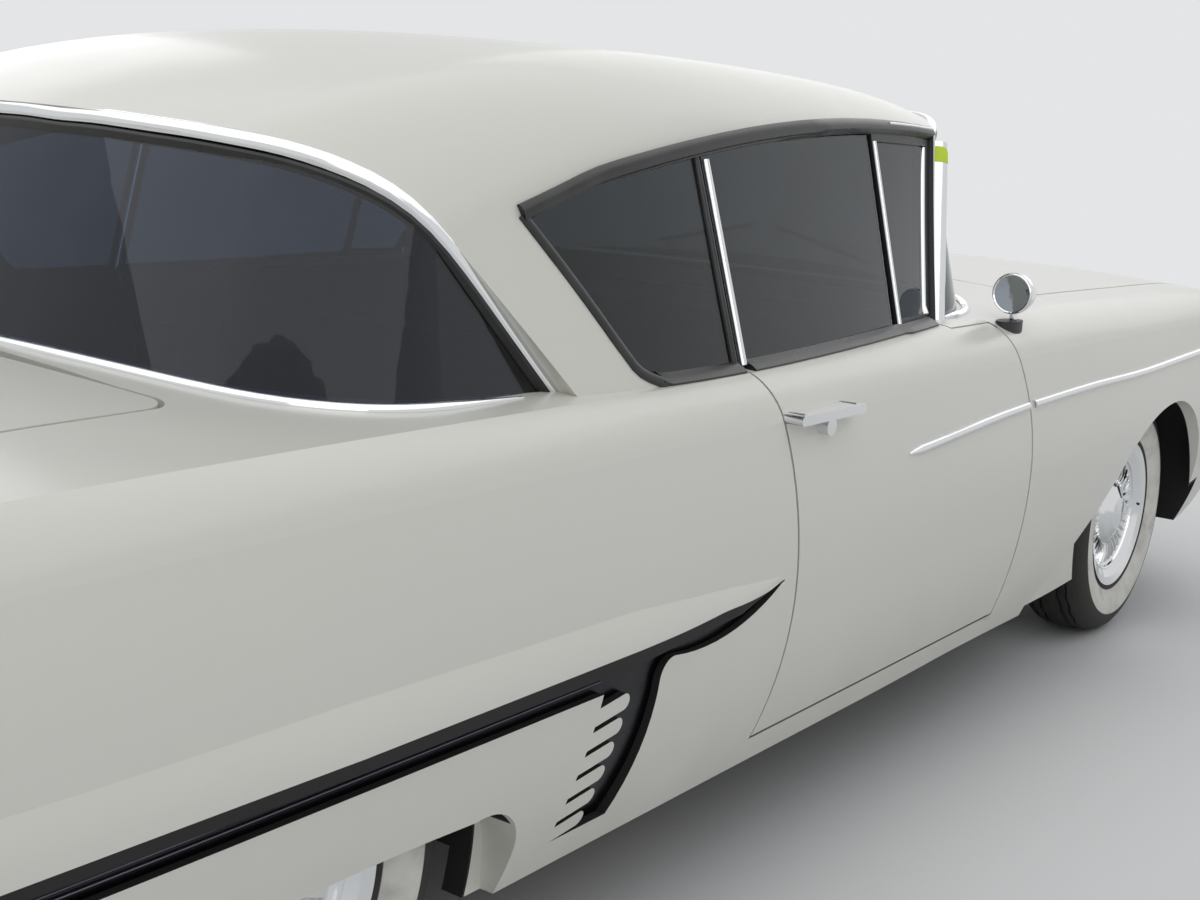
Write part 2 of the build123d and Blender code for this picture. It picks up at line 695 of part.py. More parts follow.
pinion_reach = 190.0
with BuildPart() as rear_axle:
    with BuildSketch(Plane.XZ.offset(-715)):
        with Locations((rear_axle_x, axle_z)):
            Circle(42)
    extrude(amount=1430)
    with BuildSketch(Plane.YZ.offset(rear_axle_x)):
        with Locations((0, axle_z)):
            Circle(56)
    extrude(amount=pinion_reach)
    with BuildSketch(Plane.XZ.offset(-(wheel_y + 30))):
        with Locations((rear_axle_x, axle_z)):
            Circle(20)
    extrude(amount=2 * (wheel_y + 30))
    with Locations((rear_axle_x, 0, axle_z)):
        Sphere(108)

with BuildPart() as driveshaft:
    with BuildSketch(Plane.YZ.offset(rear_axle_x + pinion_reach)):
        with Locations((0, axle_z)):
            Circle(38)
    extrude(amount=engine_rear_x - rear_axle_x - pinion_reach)

exhaust_z = 245.0
exhaust_y = 565.0
with BuildPart() as exhaust:
    for y_side in (-1, 1):
        with BuildLine() as route:
            FilletPolyline((1400, y_side * 276, 345), (1310, y_side * 480, 345), (1170, y_side * exhaust_y, exhaust_z),
                           (-2600, y_side * exhaust_y, exhaust_z), radius=60)
        with BuildSketch(Plane(origin=route.line @ 0, z_dir=route.line % 0)):
            Circle(27)
        sweep(path=route.line)
        with BuildSketch(Plane.YZ.offset(-820)):
            with Locations((y_side * exhaust_y, exhaust_z)):
                SlotOverall(160, 90)
        extrude(amount=620)
        add(block((-540, -500), (y_side * exhaust_y - 15, y_side * exhaust_y + 15),
                  (exhaust_z, floor_z - floor_thickness)))

with BuildPart() as fuel_tank:
    add(block((-2420, -1860), (-430, 430), (220, trunk_floor_z - floor_thickness)))

front_seat_profile = [(-240, 440), (330, 440), (352, 560), (-30, 600), (-160, 960), (-255, 960)]
rear_seat_profile = [(-1010, 440), (-510, 440), (-500, 550), (-820, 590), (-940, 905), (-1010, 905)]
seats = []
for profile in (front_seat_profile, rear_seat_profile):
    with BuildPart() as seat:
        with BuildSketch(Plane.XZ.offset(-680)):
            with BuildLine():
                Polyline([(x, z) for x, z in profile], close=True)
            make_face()
        extrude(amount=1360)
        fillet(seat.edges(), 22)
        for y_side in (-1, 1):
            add(block((profile[0][0] + 40, profile[1][0] - 40), (y_side * 400 - 200, y_side * 400 + 200),
                      (floor_z, 460)))
    seats.append(seat)
front_seat, rear_seat = seats

wheel_tilt = Plane(origin=(440, 380, 900), z_dir=(-0.86, 0, 0.5))
with BuildPart() as steering_wheel:
    with BuildSketch(Plane(origin=(440, 380, 900), x_dir=(0, 1, 0), z_dir=(-0.5, 0, -0.86))):
        with Locations((205, 0)):
            Circle(12)
    revolve(axis=Axis((440, 380, 900), (-0.86, 0, 0.5)))
    with BuildSketch(wheel_tilt.offset(-10)):
        Circle(45)
        Rectangle(404, 30)
    extrude(amount=16)
    with BuildSketch(wheel_tilt.offset(-10)):
        Circle(30)
    extrude(amount=-330)

with BuildPart() as dashboard:
    with BuildSketch(Plane.XZ.offset(-725)):
        with BuildLine():
            Polyline((firewall_x, 925), (700, 925), (660, 880), (720, 680), (firewall_x, 680), close=True)
        make_face()
    extrude(amount=1450)
    add(cabin_space.part, mode=Mode.INTERSECT)
    add(steering_wheel.part, mode=Mode.SUBTRACT)


def bar_run(x_front, x_wrap, half, radius, z, side=1):
    """Plan line of a bumper that wraps round the corners."""
    with BuildLine(Plane.XY.offset(z)) as run:
        FilletPolyline((x_wrap, -half), (x_front, -half), (x_front + side * 30, 0),
                       (x_front, half), (x_wrap, half), radius=radius)
    return run.line


bumper_half = 998.0
plate_hole_pitch = 178.0
plate_hole_radius = 3.5


def plate_holes(x, z):
    """Two screw holes for a number plate, through the middle of a bumper."""
    with BuildPart() as holes:
        with BuildSketch(Plane.YZ.offset(x - 120)):
            with Locations((plate_hole_pitch / 2, z), (-plate_hole_pitch / 2, z)):
                Circle(plate_hole_radius)
        extrude(amount=240)
    return holes.part


with BuildPart() as front_bumper:
    run = bar_run(2752, 2480, bumper_half, 110, 460)
    with BuildSketch(Plane(origin=run @ 0, x_dir=(0, 1, 0), z_dir=run % 0)):
        RectangleRounded(36, 130, 16)
    sweep(path=run)
    for y_side in (-1, 1):
        with BuildSketch(Plane.XY.offset(470)):
            with BuildLine():
                cone = Spline((2720, y_side * 520 + 78), (2800, y_side * 520 + 42), (2817, y_side * 520))
                Polyline(cone @ 1, (2720, y_side * 520), cone @ 0)
            make_face()
        revolve(axis=Axis((2700, y_side * 520, 470), (1, 0, 0)))
        add(block((2585, 2760), (y_side * rail_y - 25, y_side * rail_y + 25), (230, 460)))
    add(plate_holes(2782, 460), mode=Mode.SUBTRACT)

with BuildPart() as rear_bumper:
    run = bar_run(-2762, -2480, bumper_half, 110, 470, -1)
    with BuildSketch(Plane(origin=run @ 0, x_dir=(0, 1, 0), z_dir=run % 0)):
        RectangleRounded(36, 120, 16)
    sweep(path=run)
    for y_side in (-1, 1):
        with BuildSketch(Plane.YZ.offset(-2817)):
            with Locations((y_side * 850, 500)):
                RectangleRounded(190, 170, 60)
        extrude(amount=117)
        add(block((-2770, -2600), (y_side * 480 - 25, y_side * 480 + 25), (kick_z, 470)))
    add(plate_holes(-2792, 470), mode=Mode.SUBTRACT)

with BuildPart() as grille:
    with BuildSketch(Plane.YZ.offset(2650)):
        with Locations((0, 575)):
            RectangleRounded(1780, 180, 60)
            with GridLocations(72, 44, 23, 3):
                Rectangle(60, 33, mode=Mode.SUBTRACT)
        with Locations((0, 760)):
            Rectangle(1080, 190)
            with GridLocations(72, 44, 14, 3):
                Rectangle(60, 33, mode=Mode.SUBTRACT)
    extrude(amount=34)

def lamp(x_foot, x_rim, radius, dome, y_lamp, z_lamp):
    """Turn one round lamp: a short drum with a domed lens, pointing along X."""
    reach = dome if x_rim > x_foot else -dome
    bulge = (radius ** 2 + dome ** 2) / (2 * dome)
    with BuildPart() as solid:
        with BuildSketch(Plane.XY.offset(z_lamp)):
            with BuildLine():
                foot = Polyline((x_rim + reach, y_lamp), (x_foot, y_lamp), (x_foot, y_lamp + radius),
                                (x_rim, y_lamp + radius))
                RadiusArc(foot @ 1, foot @ 0, bulge if x_rim > x_foot else -bulge)
            make_face()
        revolve(axis=Axis((x_foot, y_lamp, z_lamp), (1, 0, 0)))
    return solid.part


lamp_z = 762.0
lamp_radius = 84.0
with BuildPart() as headlamps:
    for y_side in (-1, 1):
        with BuildSketch(Plane.YZ.offset(face_x)):
            with Locations((y_side * 745, lamp_z)):
                SlotOverall(376, 180)
        extrude(amount=18)
        for y_lamp in (650, 840):
            add(lamp(face_x + 10, face_x + 54, lamp_radius, 18, y_side * y_lamp, lamp_z))

with BuildPart() as tail_lamps:
    for y_side in (-1, 1):
        add(lamp(-2745, -2757, 46, 20, y_side * 880, 900))

mirror_x = 858.0
mirror_y = -868.0
mirror_z = 1040.0
with BuildPart() as front_mirror:
    with BuildSketch(Plane.XY.offset(900)):
        with Locations((mirror_x, mirror_y)):
            Ellipse(52, 26)
    extrude(amount=78)
    with BuildSketch(Plane.XY.offset(950)):
        with Locations((mirror_x + 22, mirror_y)):
            Circle(9)
    extrude(amount=mirror_z - 950)
    with BuildSketch(Plane.XY.offset(mirror_z)):
        with BuildLine():
            cap = Line((mirror_x, mirror_y), (mirror_x, mirror_y + 48))
            flank = TangentArc(cap @ 1, (mirror_x + 86, mirror_y + 18), tangent=(1, 0))
            nose = TangentArc((mirror_x + 98, mirror_y), flank @ 1, tangent=(0, 1))
            Line(nose @ 0, cap @ 0)
        make_face()
    revolve(axis=Axis((mirror_x, mirror_y, mirror_z), (1, 0, 0)))
    add(hull.part, mode=Mode.SUBTRACT)

liner_thickness = 5.0
liner_gap = 0.4
liner_front_x = -380.0
with BuildPart() as quarter_trim:
    add(hull_volume(scoop_depth - liner_thickness))
    add(across(scoop_outline(liner_gap), 880, 1100), mode=Mode.INTERSECT)
    add(block((-3000, liner_front_x), (-1100, 0), (0, 1300)), mode=Mode.INTERSECT)
    add(scoop_floor, mode=Mode.SUBTRACT)

with BuildPart() as door_handle:
    with BuildSketch(Plane.XZ.offset(930)):
        with Locations((-205, 889)):
            SlotOverall(240, 18)
    extrude(amount=62)
    with BuildSketch(Plane.XZ.offset(900)):
        with Locations((-300, 889), (-110, 889)):
            Circle(11)
        with Locations((-200, 866)):
            Circle(17)
    extrude(amount=84)
    add(hull.part, mode=Mode.SUBTRACT)

singles = {
    "body_shell": body_shell, "hood": hood, "trunk_lid": trunk_lid, "windshield": windshield,
    "backlight": backlight, "front_bumper": front_bumper, "rear_bumper": rear_bumper, "grille": grille,
    "headlamps": headlamps, "tail_lamps": tail_lamps, "chassis_frame": chassis_frame, "floor_pan": floor_pan,
    "engine_block": engine_block, "front_seat": front_seat, "rear_seat": rear_seat, "dashboard": dashboard,
    "steering_wheel": steering_wheel, "front_suspension": front_suspension, "rear_axle": rear_axle,
    "driveshaft": driveshaft, "exhaust": exhaust, "fuel_tank": fuel_tank,
}
doubles = {"quarter_trims": quarter_trim, "quarter_glasses": quarter_glass, "fender_mirrors": front_mirror}
handed = {"front_fender": front_fender, "door": door, "door_glass": door_glass, "vent_window": vent_window,
          "door_handle": door_handle}
os.makedirs("parts", exist_ok=True)


def keep(piece, label):
    """Label one finished piece and write it."""
    piece.part.label = label
    export_step(piece.part, f"parts/{label}.step")


for label, piece in singles.items():
    keep(piece, label)
for label, piece in doubles.items():
    with BuildPart() as pair:
        add(piece.part)
        mirror(piece.part, about=Plane.XZ)
    keep(pair, label)
for label, piece in handed.items():
    with BuildPart() as left_hand:
        mirror(piece.part, about=Plane.XZ)
    keep(piece, f"{label}_right")
    keep(left_hand, f"{label}_left")
for label, group in (("tyre", tyres), ("wheel", wheels), ("knuckle", knuckles)):
    for place, piece in group.items():
        keep(piece, f"{label}_{place}")
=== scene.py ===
import math

import bmesh
import bpy
from mathutils import Matrix, Vector, noise
from mathutils.bvhtree import BVHTree


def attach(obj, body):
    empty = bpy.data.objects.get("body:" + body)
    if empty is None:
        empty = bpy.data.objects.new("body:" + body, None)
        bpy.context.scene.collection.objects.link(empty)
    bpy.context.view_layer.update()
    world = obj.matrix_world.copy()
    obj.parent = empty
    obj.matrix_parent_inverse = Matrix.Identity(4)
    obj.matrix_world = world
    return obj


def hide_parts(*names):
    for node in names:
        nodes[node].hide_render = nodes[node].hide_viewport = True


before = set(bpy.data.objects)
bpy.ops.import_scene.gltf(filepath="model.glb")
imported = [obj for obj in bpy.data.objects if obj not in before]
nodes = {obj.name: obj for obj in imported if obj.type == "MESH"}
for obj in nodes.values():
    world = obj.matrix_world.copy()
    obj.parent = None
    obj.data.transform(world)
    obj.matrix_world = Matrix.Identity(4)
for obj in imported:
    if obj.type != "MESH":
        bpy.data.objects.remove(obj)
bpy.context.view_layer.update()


# Driving places, in metres: X runs to the nose, Y to the left and Z up from the road

SIDES = {"left": 1, "right": -1}
FRONT_AXLE_X, REAR_AXLE_X, AXLE_Z = 1.873, -1.416, 0.352
WHEEL_Y, TYRE_HALF_WIDTH = 0.7745, 0.103
WHEELS = {
    f"{end}_{side}": (axle_x, sign)
    for end, axle_x in (("front", FRONT_AXLE_X), ("rear", REAR_AXLE_X))
    for side, sign in SIDES.items()
}
UP, BESIDE_Y, ABOVE_Z = Vector((0, 0, 1)), 1.2, 1.2
BELT_Z = 0.962
HEADLAMPS, HEADLAMP_X = [(0.650, 0.762), (0.840, 0.762)], 2.660
TAIL_LAMP, TAIL_LAMP_X = (0.880, 0.900), -2.742


# Finishes

class Value:
    """One number that changes over a surface, written into sums as plain arithmetic."""

    def __init__(self, graph, socket):
        self.graph, self.socket = graph, socket

    def math(self, operation, *values):
        return self.graph.node("ShaderNodeMath", {"operation": operation}, dict(enumerate(values)))

    def __add__(self, other):
        return self.math("ADD", self, other)

    def __sub__(self, other):
        return self.math("SUBTRACT", self, other)

    def __rsub__(self, other):
        return self.math("SUBTRACT", other, self)

    def __mul__(self, other):
        return self.math("MULTIPLY", self, other)

    def __pow__(self, other):
        return self.math("POWER", self, other)

    def __abs__(self):
        return self.math("ABSOLUTE", self)

    def __gt__(self, other):
        return self.math("GREATER_THAN", self, other)

    def __lt__(self, other):
        return self.math("LESS_THAN", self, other)

    __radd__, __rmul__ = __add__, __mul__

    def sine(self):
        return self.math("SINE", self)

    def least(self, other):
        return self.math("MINIMUM", self, other)

    def most(self, other):
        return self.math("MAXIMUM", self, other)

    def within(self, low, high):
        """1 between two limits and 0 outside them."""
        return (self > low) * (self < high)

    def between(self, low, high):
        """0 below low, 1 above high, and smooth between them."""
        return self.graph.node(
            "ShaderNodeMapRange",
            {"interpolation_type": "SMOOTHSTEP"},
            {"Value": self, "From Min": low, "From Max": high},
        )


class Graph:
    """The shader nodes of a material or a world."""

    def __init__(self, owner):
        owner.use_nodes = True
        self.tree = owner.node_tree

    def node(self, kind, settings=None, inputs=None, output=0):
        """Add a node: its settings first, then the values or links of its sockets."""
        made = self.tree.nodes.new(kind)
        for setting, value in (settings or {}).items():
            setattr(made, setting, value)
        for socket, value in (inputs or {}).items():
            if isinstance(value, Value):
                self.tree.links.new(value.socket, made.inputs[socket])
            else:
                made.inputs[socket].default_value = value
        return Value(self, made.outputs[output])

    def seen(self):
        """1 for rays from the camera, off a mirror or through glass, and 0 for the rest."""
        path = self.node("ShaderNodeLightPath").socket.node
        kinds = ("Camera", "Glossy", "Transmission")
        camera, mirror, glass = [Value(self, path.outputs[f"Is {kind} Ray"]) for kind in kinds]
        return camera.most(mirror).most(glass)


class Finish(Graph):
    """A material with one shader, and short ways to vary it over the surface."""

    def __init__(self, name, colour, roughness, metallic=0.0, **constants):
        self.material = bpy.data.materials.new(name)
        super().__init__(self.material)
        self.shader = self.tree.nodes["Principled BSDF"]
        self.shader.inputs["Base Color"].default_value = (*colour, 1)
        self.shader.inputs["Roughness"].default_value = roughness
        self.shader.inputs["Metallic"].default_value = metallic
        for socket, value in constants.items():
            self.shader.inputs[socket.replace("_", " ")].default_value = value

    def place(self):
        """The point on the object, in metres."""
        return self.node("ShaderNodeTexCoord", output="Object")

    def parts(self, vector):
        """The three numbers of a vector."""
        split = self.node("ShaderNodeSeparateXYZ", None, {0: vector})
        return [Value(self, socket) for socket in split.socket.node.outputs]

    def noise(self, scale, detail=3.0, stretch=None):
        """Even noise from 0 to 1. A stretch draws it out along an axis."""
        vector = self.place()
        if stretch:
            vector = self.node("ShaderNodeVectorMath", {"operation": "MULTIPLY"}, {0: vector, 1: stretch})
        return self.node("ShaderNodeTexNoise", None, {"Vector": vector, "Scale": scale, "Detail": detail})

    def mix(self, factor, first, second):
        """A colour between two colours."""
        sockets = {0: factor}
        for socket, colour in ((6, first), (7, second)):
            sockets[socket] = colour if isinstance(colour, Value) else (*colour, 1)
        return self.node("ShaderNodeMix", {"data_type": "RGBA"}, sockets, 2)

    def feed(self, **values):
        """Link values to the shader's own sockets."""
        for socket, value in values.items():
            self.tree.links.new(value.socket, self.shader.inputs[socket.replace("_", " ")])
        return self

    def emboss(self, height, depth):
        """Raise the surface by a height from 0 to 1, times a depth in metres."""
        bump = self.node("ShaderNodeBump", None, {"Strength": 1.0, "Distance": depth, "Height": height})
        return self.feed(Normal=bump)

    def overlay(self, factor, second):
        """Show a second shader instead of the first where the factor is 1."""
        first = Value(self, self.shader.outputs[0])
        both = self.node("ShaderNodeMixShader", None, {0: factor, 1: first, 2: second})
        self.tree.links.new(both.socket, self.tree.nodes["Material Output"].inputs["Surface"])


CREAM, CREAM_SHADE = (0.745, 0.740, 0.685), (0.665, 0.665, 0.615)
STONE_CHIP, ROAD_DUST = (0.32, 0.30, 0.25), (0.42, 0.39, 0.33)
# black of the undercoat, also used as painted shade in the quarter scoop
UNDERCOAT_AND_SHADE_BLACK = (0.014, 0.013, 0.013)
LINING_CLOTH, LINING_THREAD = (0.045, 0.048, 0.058), (0.10, 0.105, 0.12)
BRIGHT_PLATE, PLATE_PIT = (0.78, 0.79, 0.80), (0.30, 0.27, 0.24)
BLACK_PAINT = (0.016, 0.016, 0.017)
# the glass's own tints, darkened towards black as painted shade of the cabin behind the glass
SMOKE_TINT_AND_SHADE, BLUE_TINT_AND_SHADE = (0.11, 0.135, 0.15), (0.105, 0.15, 0.26)
GLASS = {"Transmission Weight": 1.0, "IOR": 1.45, "Specular IOR Level": 0.35}

QUARTER_INNER_Y, QUARTER_SKIN_Y = 0.88, 0.955
SCOOP_FRONT_X, SCOOP_REAR_X = -0.336, -2.67
SCOOP_LOW_Z, SCOOP_HIGH_Z = 0.285, 0.66
MOUTH_REAR_X, BAND_LOW_Z = -0.96, 0.53
TIP_X, TIP_Z, TIP_SLOPE, TIP_REAR_X = -0.338, 0.612, 0.1605, -0.400
TIP_ARC_X, TIP_ARC_Z, TIP_ARC_RADIUS = -0.5899, 1.0515, 0.5066
SPEAR_BEND_X, SPEAR_LOW_Z, SPEAR_SQUARE, SPEAR_CUBE = -0.8, 0.575, 0.0275, 0.3156
LIP_HEIGHT, LIP_GROWTH, LIP_REAR_X = 0.021, 0.24, -2.68

VENT_REAR_X, VENT_FRONT_X, VENT_SLOPE, VENT_LOW_Z, VENT_HIGH_Z = 0.392, 0.572, 0.26, 1.0, 1.3665
MIRROR_FOOT_Z = 0.9792
WELLS = ((FRONT_AXLE_X, 0.4225), (REAR_AXLE_X, 0.3965))
WELL_OUTER_Y = 0.948
UNDERSIDE_Z = 0.301
CABIN_MIDDLE_X, CABIN_MIDDLE_Z = -0.1, 0.95
CABIN_REAR_X, CABIN_FRONT_X, CABIN_FLOOR_Z, CABIN_HALF_WIDTH = -1.335, 1.12, 0.335, 0.868


def scoop_shade(x, y, z, ny):
    """1 where shade is painted black: on the walls of the quarter scoop, on the scoop's floor at its tip, and
    on the spear's lower lip.
    """
    quarter = abs(y) > QUARTER_INNER_Y
    scoop = quarter * x.within(SCOOP_REAR_X, SCOOP_FRONT_X) * z.within(SCOOP_LOW_Z, SCOOP_HIGH_Z)
    wall = scoop * (abs(ny) < 0.4) * ((z > BAND_LOW_Z) + (x > MOUTH_REAR_X)).least(1)
    under_spear = z < (x - TIP_X) * TIP_SLOPE + TIP_Z
    above_arc = (x - TIP_ARC_X) ** 2 + (z - TIP_ARC_Z) ** 2 < TIP_ARC_RADIUS ** 2
    tip = under_spear * above_arc * x.within(TIP_REAR_X, TIP_X) * quarter
    ahead = (x - SPEAR_BEND_X).most(0)
    spear_low = ahead ** 2 * SPEAR_SQUARE + ahead ** 3 * SPEAR_CUBE + SPEAR_LOW_Z
    lip_top = spear_low + (TIP_X - x).between(0.0, LIP_GROWTH) * LIP_HEIGHT
    lip = (z < lip_top) * (z > spear_low - 0.003) * (abs(y) > QUARTER_SKIN_Y) * x.within(LIP_REAR_X, TIP_X)
    return wall + tip + lip


def body_enamel(name, cabin_sign=0):
    """Old cream enamel. Faces that look into the cabin are lined, and the wells are undercoated. The quarter
    scoop's walls, its tip and the lip below the spear get the same black as painted shade.
    """
    finish = Finish(name, CREAM, 0.3, Coat_Weight=0.4, Coat_Roughness=0.16)
    x, y, z = finish.parts(finish.place())
    nx, ny, nz = finish.parts(finish.node("ShaderNodeTexCoord", output="Normal"))
    low_dust = (0.55 - z).between(0.0, 0.34) * finish.noise(5, 1)
    chips = finish.noise(190, 2).between(0.79, 0.81) * finish.noise(3, 2).between(0.5, 0.65)
    colour = finish.mix(finish.noise(1.3, 4) * 0.5, CREAM, CREAM_SHADE)
    colour = finish.mix(chips * 0.4, colour, STONE_CHIP)
    colour = finish.mix(low_dust * 0.35, colour, ROAD_DUST)
    # painted shade: the scoop's walls, tip and lip are painted black along with the undercoated wells
    painted_shade_and_wells = scoop_shade(x, y, z, ny)
    for axle_x, reach in WELLS:
        painted_shade_and_wells = painted_shade_and_wells + ((x - axle_x) ** 2 + (z - AXLE_Z) ** 2 < reach ** 2) * (abs(y) < WELL_OUTER_Y)
    under = (painted_shade_and_wells + (z < UNDERSIDE_Z) * (nz < -0.5)).least(1)
    if cabin_sign:
        inward = (ny * cabin_sign > 0.3) * (z < BELT_Z)
    else:
        turned_in = nx * (CABIN_MIDDLE_X - x) + ny * -1 * y + nz * (CABIN_MIDDLE_Z - z) > 0.04
        inward = turned_in * (z > CABIN_FLOOR_Z) * x.within(CABIN_REAR_X, CABIN_FRONT_X)
        inward = inward * (abs(y) < CABIN_HALF_WIDTH)
    cloth = finish.noise(900, 2)
    colour = finish.mix(inward, colour, finish.mix(cloth, LINING_CLOTH, LINING_THREAD))
    # black for the undercoated wells and underside, and painted shade in the quarter scoop
    colour = finish.mix(under, colour, UNDERCOAT_AND_SHADE_BLACK)
    matt = (inward + under).least(1)
    rough = 0.30 + finish.noise(9, 4) * 0.12 + low_dust * 0.3
    finish.feed(Base_Color=colour, Roughness=rough * (1 - matt) + matt * 0.85, Coat_Weight=0.4 - matt * 0.4)
    return finish.emboss(finish.noise(260, 2) * (1 - matt) + cloth * matt * 6, 0.00012).material


def plated(name, colour=BRIGHT_PLATE, roughness=0.06):
    """Bright plate with a few wiping marks and faint pits."""
    finish = Finish(name, colour, roughness, 1.0)
    pits = finish.noise(420, 2).between(0.72, 0.78)
    finish.feed(
        Base_Color=finish.mix(pits * 0.5, colour, PLATE_PIT),
        Roughness=roughness + finish.noise(12, 5, (1, 1, 4)) * 0.09 + pits * 0.3,
    )
    return finish.emboss(finish.noise(30, 2), 0.0003).material


def dusty_tint(finish, tint):
    """A glass tint that is a little darker under a film of dust."""
    return finish.mix(finish.noise(7, 5).between(0.35, 0.7), tint, [c * 0.88 for c in tint])


def tinted_pane(name, tint):
    """Thin tinted glass with a dusty film. Its tint is darkened as painted shade."""
    finish = Finish(name, tint, 0.0, **GLASS)
    return finish.feed(Base_Color=dusty_tint(finish, tint)).material


def vent_finish(name, tint):
    """A swinging vent: a tinted pane, darkened as painted shade, inside a black frame."""
    finish = Finish(name, BLACK_PAINT, 0.35)
    x, _, z = finish.parts(finish.place())
    front_edge = (z - VENT_LOW_Z) * VENT_SLOPE + VENT_FRONT_X
    pane = x.within(VENT_REAR_X, front_edge) * z.within(VENT_LOW_Z, VENT_HIGH_Z)
    sockets = {"Base Color": dusty_tint(finish, tint), "Roughness": 0.0, **GLASS}
    finish.overlay(pane, finish.node("ShaderNodeBsdfPrincipled", None, sockets))
    finish.feed(Roughness=0.3 + finish.noise(14, 6) * 0.15)
    return finish.emboss(finish.noise(900, 2), 0.0002).material


def mirror_finish(name):
    """Plated mirror shell on a black rubber foot. The foot's black also stands in as painted shadow where the
    mirror shades the fender.
    """
    finish = Finish(name, BRIGHT_PLATE, 0.07, 1.0)
    _, _, z = finish.parts(finish.place())
    # painted shadow: the foot is a rubber gasket, made fully black where the mirror's shadow lies
    foot = z < MIRROR_FOOT_Z
    finish.feed(
        Base_Color=finish.mix(foot, BRIGHT_PLATE, (0.02, 0.02, 0.02)),
        Metallic=1 - foot,
        Roughness=finish.noise(12, 5) * 0.09 + 0.05 + foot * 0.4,
    )
    return finish.emboss(finish.noise(30, 2), 0.0003).material


def moulded(name, colour, roughness, grain=900, depth=0.0003, lighter=1.5):
    """Grained rubber, plastic or painted steel: one colour with a lighter, duller dust in it."""
    finish = Finish(name, colour, roughness)
    dust = finish.noise(14, 6)
    finish.feed(
        Base_Color=finish.mix(dust.between(0.35, 0.8), colour, [min(1, c * lighter + 0.01) for c in colour]),
        Roughness=roughness + dust * 0.15,
    )
    return finish.emboss(finish.noise(grain, 2), depth).material


def sooty_steel(name):
    """Warm grey steel with soot on it."""
    finish = Finish(name, (0.22, 0.19, 0.16), 0.45, 0.9)
    soot = finish.noise(8, 6)
    finish.feed(
        Base_Color=finish.mix(soot, (0.26, 0.23, 0.20), (0.14, 0.08, 0.05)),
        Roughness=0.35 + soot * 0.4,
    )
    return finish.emboss(soot, 0.0008).material


def whitewall_rubber(name, axle_x):
    """Tyre rubber with a wide white band on its outer wall."""
    finish = Finish(name, (0.02, 0.02, 0.02), 0.7)
    x, y, z = finish.parts(finish.place())
    radius = ((x - axle_x) ** 2 + (z - AXLE_Z) ** 2) ** 0.5
    band = radius.between(0.2225, 0.2245) * (1 - radius.between(0.2915, 0.2935)) * (abs(y) > WHEEL_Y)
    scuff = finish.noise(16, 6)
    white = finish.mix(scuff.between(0.4, 0.85), (0.78, 0.77, 0.73), (0.50, 0.48, 0.44))
    black = finish.mix(scuff, (0.014, 0.014, 0.014), (0.045, 0.042, 0.038))
    finish.feed(Base_Color=finish.mix(band, black, white), Roughness=0.6 + scuff * 0.25)
    rings = ((radius * 1500).sine() * 0.5 + 0.5) * radius.between(0.30, 0.302)
    return finish.emboss(rings + finish.noise(700, 2) * 0.4, 0.0004).material


def woven(name, dark, light):
    """Close seat cloth: a small over-and-under weave that fades from thread to thread."""
    finish = Finish(name, dark, 0.85, Sheen_Weight=0.3, Sheen_Roughness=0.4)
    x, y, z = finish.parts(finish.place())
    threads = 2600
    weave = (y * threads).sine() * ((x + z) * threads).sine()
    patches = finish.noise(4, 4)
    finish.feed(
        Base_Color=finish.mix(weave * 0.4 + patches * 0.6, dark, light),
        Roughness=0.78 + patches * 0.15,
    )
    return finish.emboss(weave * 0.5 + finish.noise(60, 3), 0.0006).material


def lamp_face(name, lens_colour, lamps, reach, ribs):
    """A lamp node: the round lens is coloured glass with a painted highlight along its flutes, and the plate
    round it is plated.
    """
    finish = Finish(name, lens_colour, 0.1, Coat_Weight=1.0, Coat_Roughness=0.03)
    _, y, z = finish.parts(finish.place())
    rounds = [(abs(y) - lamp_y) ** 2 + (z - lamp_z) ** 2 < reach ** 2 for lamp_y, lamp_z in lamps]
    lens = sum(rounds[1:], rounds[0]).least(1)
    # painted highlight: the lens colour is lighter in stripes along the flutes
    flute = (y * ribs).sine() * 0.5 + 0.5
    flute_highlight = finish.mix(flute, lens_colour, [min(1, c * 1.25 + 0.03) for c in lens_colour])
    finish.feed(
        Base_Color=finish.mix(lens, BRIGHT_PLATE, flute_highlight),
        Metallic=1 - lens,
        Roughness=0.08 + lens * 0.06,
    )
    return finish.emboss(flute * lens, 0.0016).material


SURROUND, SURROUND_STRENGTH, FILL_STRENGTH = (0.86, 0.87, 0.88), 0.90, 0.36


def studio_floor():
    """Pale ground that turns into the pale surround away from the car."""
    finish = Finish("pale_floor", (0.78, 0.79, 0.80), 0.7)
    finish.feed(Base_Color=finish.mix(finish.noise(0.8, 4), (0.76, 0.77, 0.78), (0.80, 0.81, 0.82)))
    x, y, _ = finish.parts(finish.place())
    far = ((x ** 2 + y ** 2) ** 0.5).between(3.2, 8.0)
    haze = finish.node("ShaderNodeEmission", None, {"Color": (*SURROUND, 1), "Strength": SURROUND_STRENGTH})
    finish.overlay(finish.seen() * far, haze)
    return finish.emboss(finish.noise(40, 3), 0.0004).material


enamel = body_enamel("cream_enamel")
door_enamel = {side: body_enamel(f"cream_enamel_door_{side}", -sign) for side, sign in SIDES.items()}
chrome = plated("bright_chrome")
# painted shade and painted reflection: the scoop's liner is plated nearly black for the shade and the dark
# mirror image inside the scoop
painted_shade_plate = plated("scoop_painted_shade_plate", (0.030, 0.030, 0.036), 0.22)
